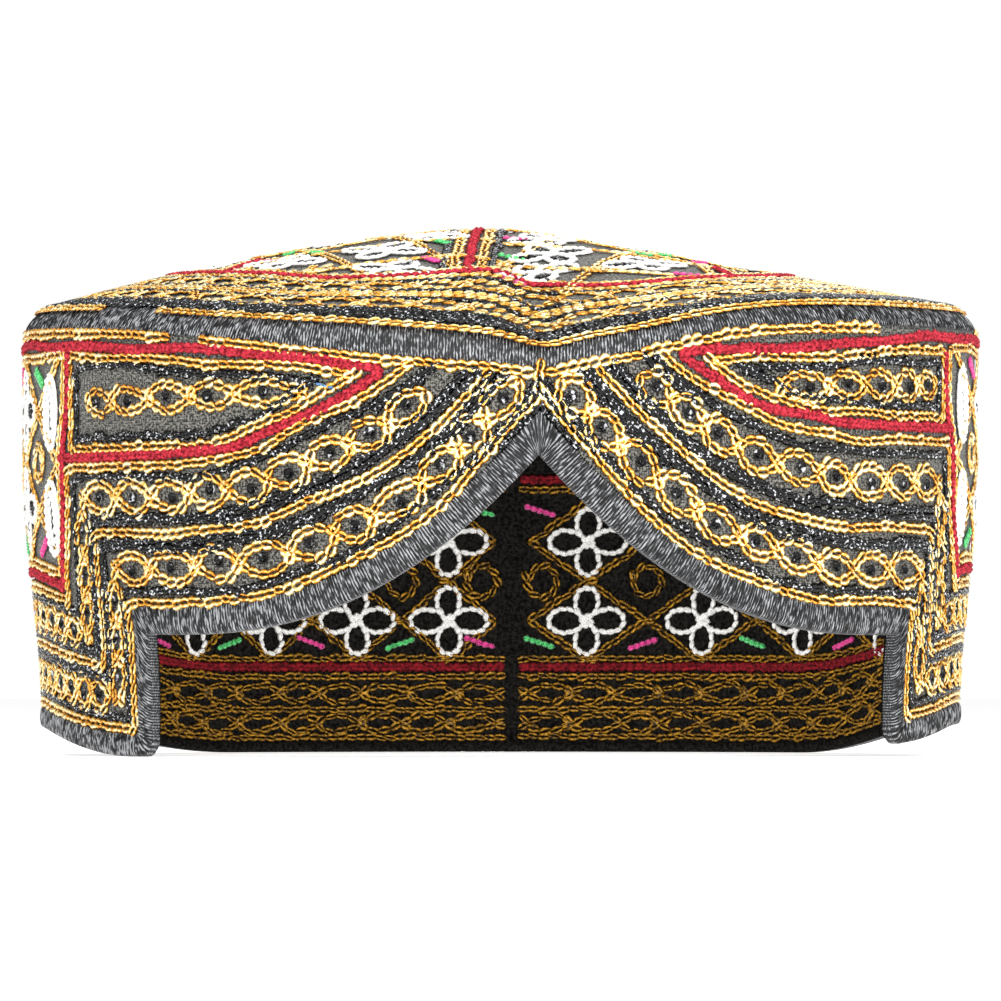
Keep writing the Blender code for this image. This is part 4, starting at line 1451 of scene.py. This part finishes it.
def beside_arm(arm, aside, clear):
    """A straight line beside an arm, from its inner end to a little clear of the ring."""
    outer_azimuth, inner_azimuth, first = arm[:3]
    x0, y0 = crown_ray(inner_azimuth, first)
    x1, y1 = crown_ray(outer_azimuth, red_ring_radius(outer_azimuth) - clear)
    length = math.hypot(x1 - x0, y1 - y0)
    across, up = (y1 - y0) / length * aside, (x0 - x1) / length * aside
    return dense([(x0 + across, y0 + up), (x1 + across, y1 + up)], ROW_PLACES)


crown_gold = [crown_round(share) for share in CROWN_GOLD_SHARES]
crown_black = [crown_round(share) for share in CROWN_BLACK_SHARES]
for share in CROWN_LOOP_SHARES:
    crown_gold += looped(crown_round(share), CROWN_LOOP_LENGTH, CROWN_LOOP_LENGTH, CROWN_LOOP_HALF_WIDTH)[0]
crown_red = [crown_round(0)]
crown_gold.append([crown_ray(a, red_ring_radius(a) - ROW_STEP) for a in evenly(0, 360, ROUND_STEP)])
crown_white, crown_hearts = [], []
crown_bars = {"magenta_silk": [], "green_silk": []}
for i, arm in enumerate(ARMS):
    start, azimuth = arm[2:]
    crown_red.append(beside_arm(arm, 0, ARM_CLEAR))
    for side in (-1, 1):
        crown_gold.append(beside_arm(arm, side * ARM_GOLD_ASIDE, ROW_STEP + ARM_CLEAR))
        if start < LONG_ARM:
            crown_black.append(beside_arm(arm, side * ARM_BLACK_ASIDE, 2 * ROW_STEP))
    crown_gold.append([crown_ray(azimuth, reach) for reach in evenly(HUB_RADIUS, start, ROW_PLACES)][1:])
    half_sector = ((ARMS[(i + 1) % len(ARMS)][3] - azimuth) % 360) / 2
    axis = azimuth + half_sector
    limit = red_ring_radius(axis) - ROW_STEP - ARM_CLEAR

    def in_sector(lines, scale=1):
        """Lines in the sector's own across and outward distances, as lines in plan."""
        angle = math.radians(axis)
        moved = []
        for line in lines:
            rays = [(u * scale, *crown_ray(axis, v * scale)) for u, v in line]
            moved.append([(x + u * math.cos(angle), y + u * math.sin(angle)) for u, x, y in rays])
        return moved

    across, up = DIAMOND_HALF
    bottom, top = (0, DIAMOND_RADIUS - up), (0, DIAMOND_RADIUS + up)
    for side in (-1, 1):
        corner = (side * across, DIAMOND_RADIUS)
        for begin, rise in ((bottom, -1), (bottom, 1), (top, 1), (corner, 1), (corner, -1), (top, -1)):
            line = []
            for step in evenly(0, DIAMOND_OVERRUN, DIAMOND_STEP):
                u, v = begin[0] + side * across * step, begin[1] + rise * up * step
                room = math.tan(math.radians(half_sector)) * v - DIAMOND_MARGIN
                over = step > 1 and begin[0] == 0 and rise > 0
                if over or abs(u) >= room or math.hypot(u, v) >= limit:
                    break
                line.append((u, v))
            if len(line) > 2:
                crown_gold += in_sector([line])
    sector = {0: "front_right", 5: "front_left"}.get(i, "other")
    ring_u, ring_v = SECTOR_RINGS[sector]
    crown_gold += in_sector([circle((ring_u * MM, ring_v * MM), SECTOR_RING_RADIUS, SECTOR_RING_POINTS)])
    for u, v, half_u, half_v in SECTOR_FLOWERS[sector]:
        outlines, hearts = flower(half_u * MM, half_v * MM)
        crown_white += in_sector(shifted(outlines, u * MM, v * MM))
        crown_hearts += in_sector(shifted(hearts, u * MM, v * MM))
    for name, bars in SECTOR_BARS[sector].items():
        crown_bars[name] += in_sector([bar(u, v, *SECTOR_BAR_HALF) for u, v in bars], MM)
CROWN_GOLD = dict(GOLD, **{"Stitch Length": 2.2 * MM})
CROWN_BLACK = dict(BLACK, **{"Stitch Length": 2.0 * MM})
sew("gold_crown", on_crown(crown_gold) + [on_ring(*RING_GOLD)], CROWN_GOLD)
sew("red_crown", on_crown(crown_red), RED)
sew("black_crown", on_crown(crown_black) + [on_ring(*RING_BLACK)], CROWN_BLACK)
sew("black_crown_hearts", on_crown(crown_hearts), BLACK)
sew("white_crown", on_crown(crown_white), WHITE)
sew_silk("crown", {name: on_crown(bars) for name, bars in crown_bars.items()})

# Rows inside the wall: the same threads on the inner face of the back half: gold lines with two rows of
# flat loops along the hem, a red line, and diamonds with white flowers and bright stitches above it.
INNER_GOLD_HEIGHTS = (3.1 * MM, 8.8 * MM, 15.5 * MM, 19.2 * MM, 54.2 * MM)
INNER_LOOP_HEIGHTS = (5.9 * MM, 12.1 * MM)
INNER_RED_HEIGHTS = (17.5 * MM, 56.2 * MM)
INNER_LOOP_LENGTH = 9.7 * MM
INNER_LOOP_HALF_WIDTH = 1.6 * MM
INNER_REACH = arc_of(104)
FLOWER_ROWS = (27.0 * MM, 43.3 * MM)
# Diamonds: side, azimuth of the first flower and degrees from one flower to the next.
INNER_DIAMONDS = ((1, 164.0, 16.3), (-1, 177.6, 12.6))
INNER_COLUMNS = 4
INNER_FLOWER = (8.4 * MM, 6.9 * MM)
INNER_RING_MARGIN = 2.8 * MM
INNER_BAR_HALF = (2.6 * MM, 0.8 * MM)
# Heights of the two rows of bars.
INNER_BARS = (22.4 * MM, 49.6 * MM)
INNER_GOLD_WIDTH, INNER_WHITE_WIDTH, INNER_BAR_WIDTH = 1.5 * MM, 1.3 * MM, 1.4 * MM


def in_wall(lines):
    """Flat lines as paths on the wall's inner face: points, each with the way it faces."""
    return [[(wall_point(arc, height, CLOTH + LIFT), -polar(azimuth_of(arc), 1, 0)) for arc, height in line]
            for line in lines]


inner_gold, inner_red, inner_white = [], [], []
inner_bars = {"magenta_silk": [], "green_silk": []}
for side in (-1, 1):
    inner_gold += [along_hem(side, height, INNER_REACH) for height in INNER_GOLD_HEIGHTS]
    inner_red += [along_hem(side, height, INNER_REACH) for height in INNER_RED_HEIGHTS]
    for height in INNER_LOOP_HEIGHTS:
        inner_gold += looped(along_hem(side, height, INNER_REACH), INNER_LOOP_LENGTH, INNER_LOOP_LENGTH,
                             INNER_LOOP_HALF_WIDTH)[0]
half_period = (FLOWER_ROWS[1] - FLOWER_ROWS[0]) / 2
for side, first, step in INNER_DIAMONDS:
    for row in FLOWER_ROWS:
        for turn in (1, -1):
            zigzag = []
            for k in range(2 * INNER_COLUMNS + 2):
                arc = min(arc_of(first - step * (k - 1) / 2), seam_edge(side))
                zigzag.append((side * arc, row + (turn * half_period if k % 2 else 0)))
            inner_gold.append(dense(zigzag))
        for k in range(INNER_COLUMNS):
            inner_white += shifted(flower(*INNER_FLOWER)[0], side * arc_of(first - step * k), row)
    for k in range(-1, INNER_COLUMNS):
        arc = side * min(arc_of(first - step * (k + 0.5)), seam_edge(side) - INNER_RING_MARGIN)
        inner_gold.append(circle((arc, sum(FLOWER_ROWS) / 2), PANEL_RINGS_RADIUS))
        lean = 1 if k % 2 else -1
        for i, height in enumerate(INNER_BARS):
            name = ("green_silk", "magenta_silk")[(k + i + (side > 0)) % 2]
            inner_bars[name].append(bar(arc, height, INNER_BAR_HALF[0], lean * INNER_BAR_HALF[1]))

# The same gilt thread with painted shade, for the wall's inside: browner, without the pale painted
# highlights.
shaded_gilt = fibre_material("shaded_gilt_thread", {"Metallic": 0.3, "Roughness": 0.5}, MM / 1.5, 2,
                           ((0.36, "#332106"), (0.66, "#cc961e")), 0.4)
# The crimson wool with painted shade, for the wall's inside: deep red and flat.
shaded_wool = fibre_material("shaded_crimson_wool", {"Roughness": 0.9, "Specular IOR Level": 0.2}, MM / 1.5, 3,
                           ((0.36, "#3c040a"), (0.66, "#9a1c28")), 0.4)
sew("gold_inside", in_wall(inner_gold), dict(GOLD, Width=INNER_GOLD_WIDTH, Thread=shaded_gilt))
sew("red_inside", in_wall(inner_red), dict(RED, Thread=shaded_wool))
sew("white_inside", in_wall(inner_white), dict(WHITE, Width=INNER_WHITE_WIDTH))
sew_silk("inside", {name: in_wall(bars) for name, bars in inner_bars.items()}, INNER_BAR_WIDTH)

# The single stitches are spares once the rows are sewn.
for link in (open_link, closed_link):
    bpy.data.objects.remove(link)
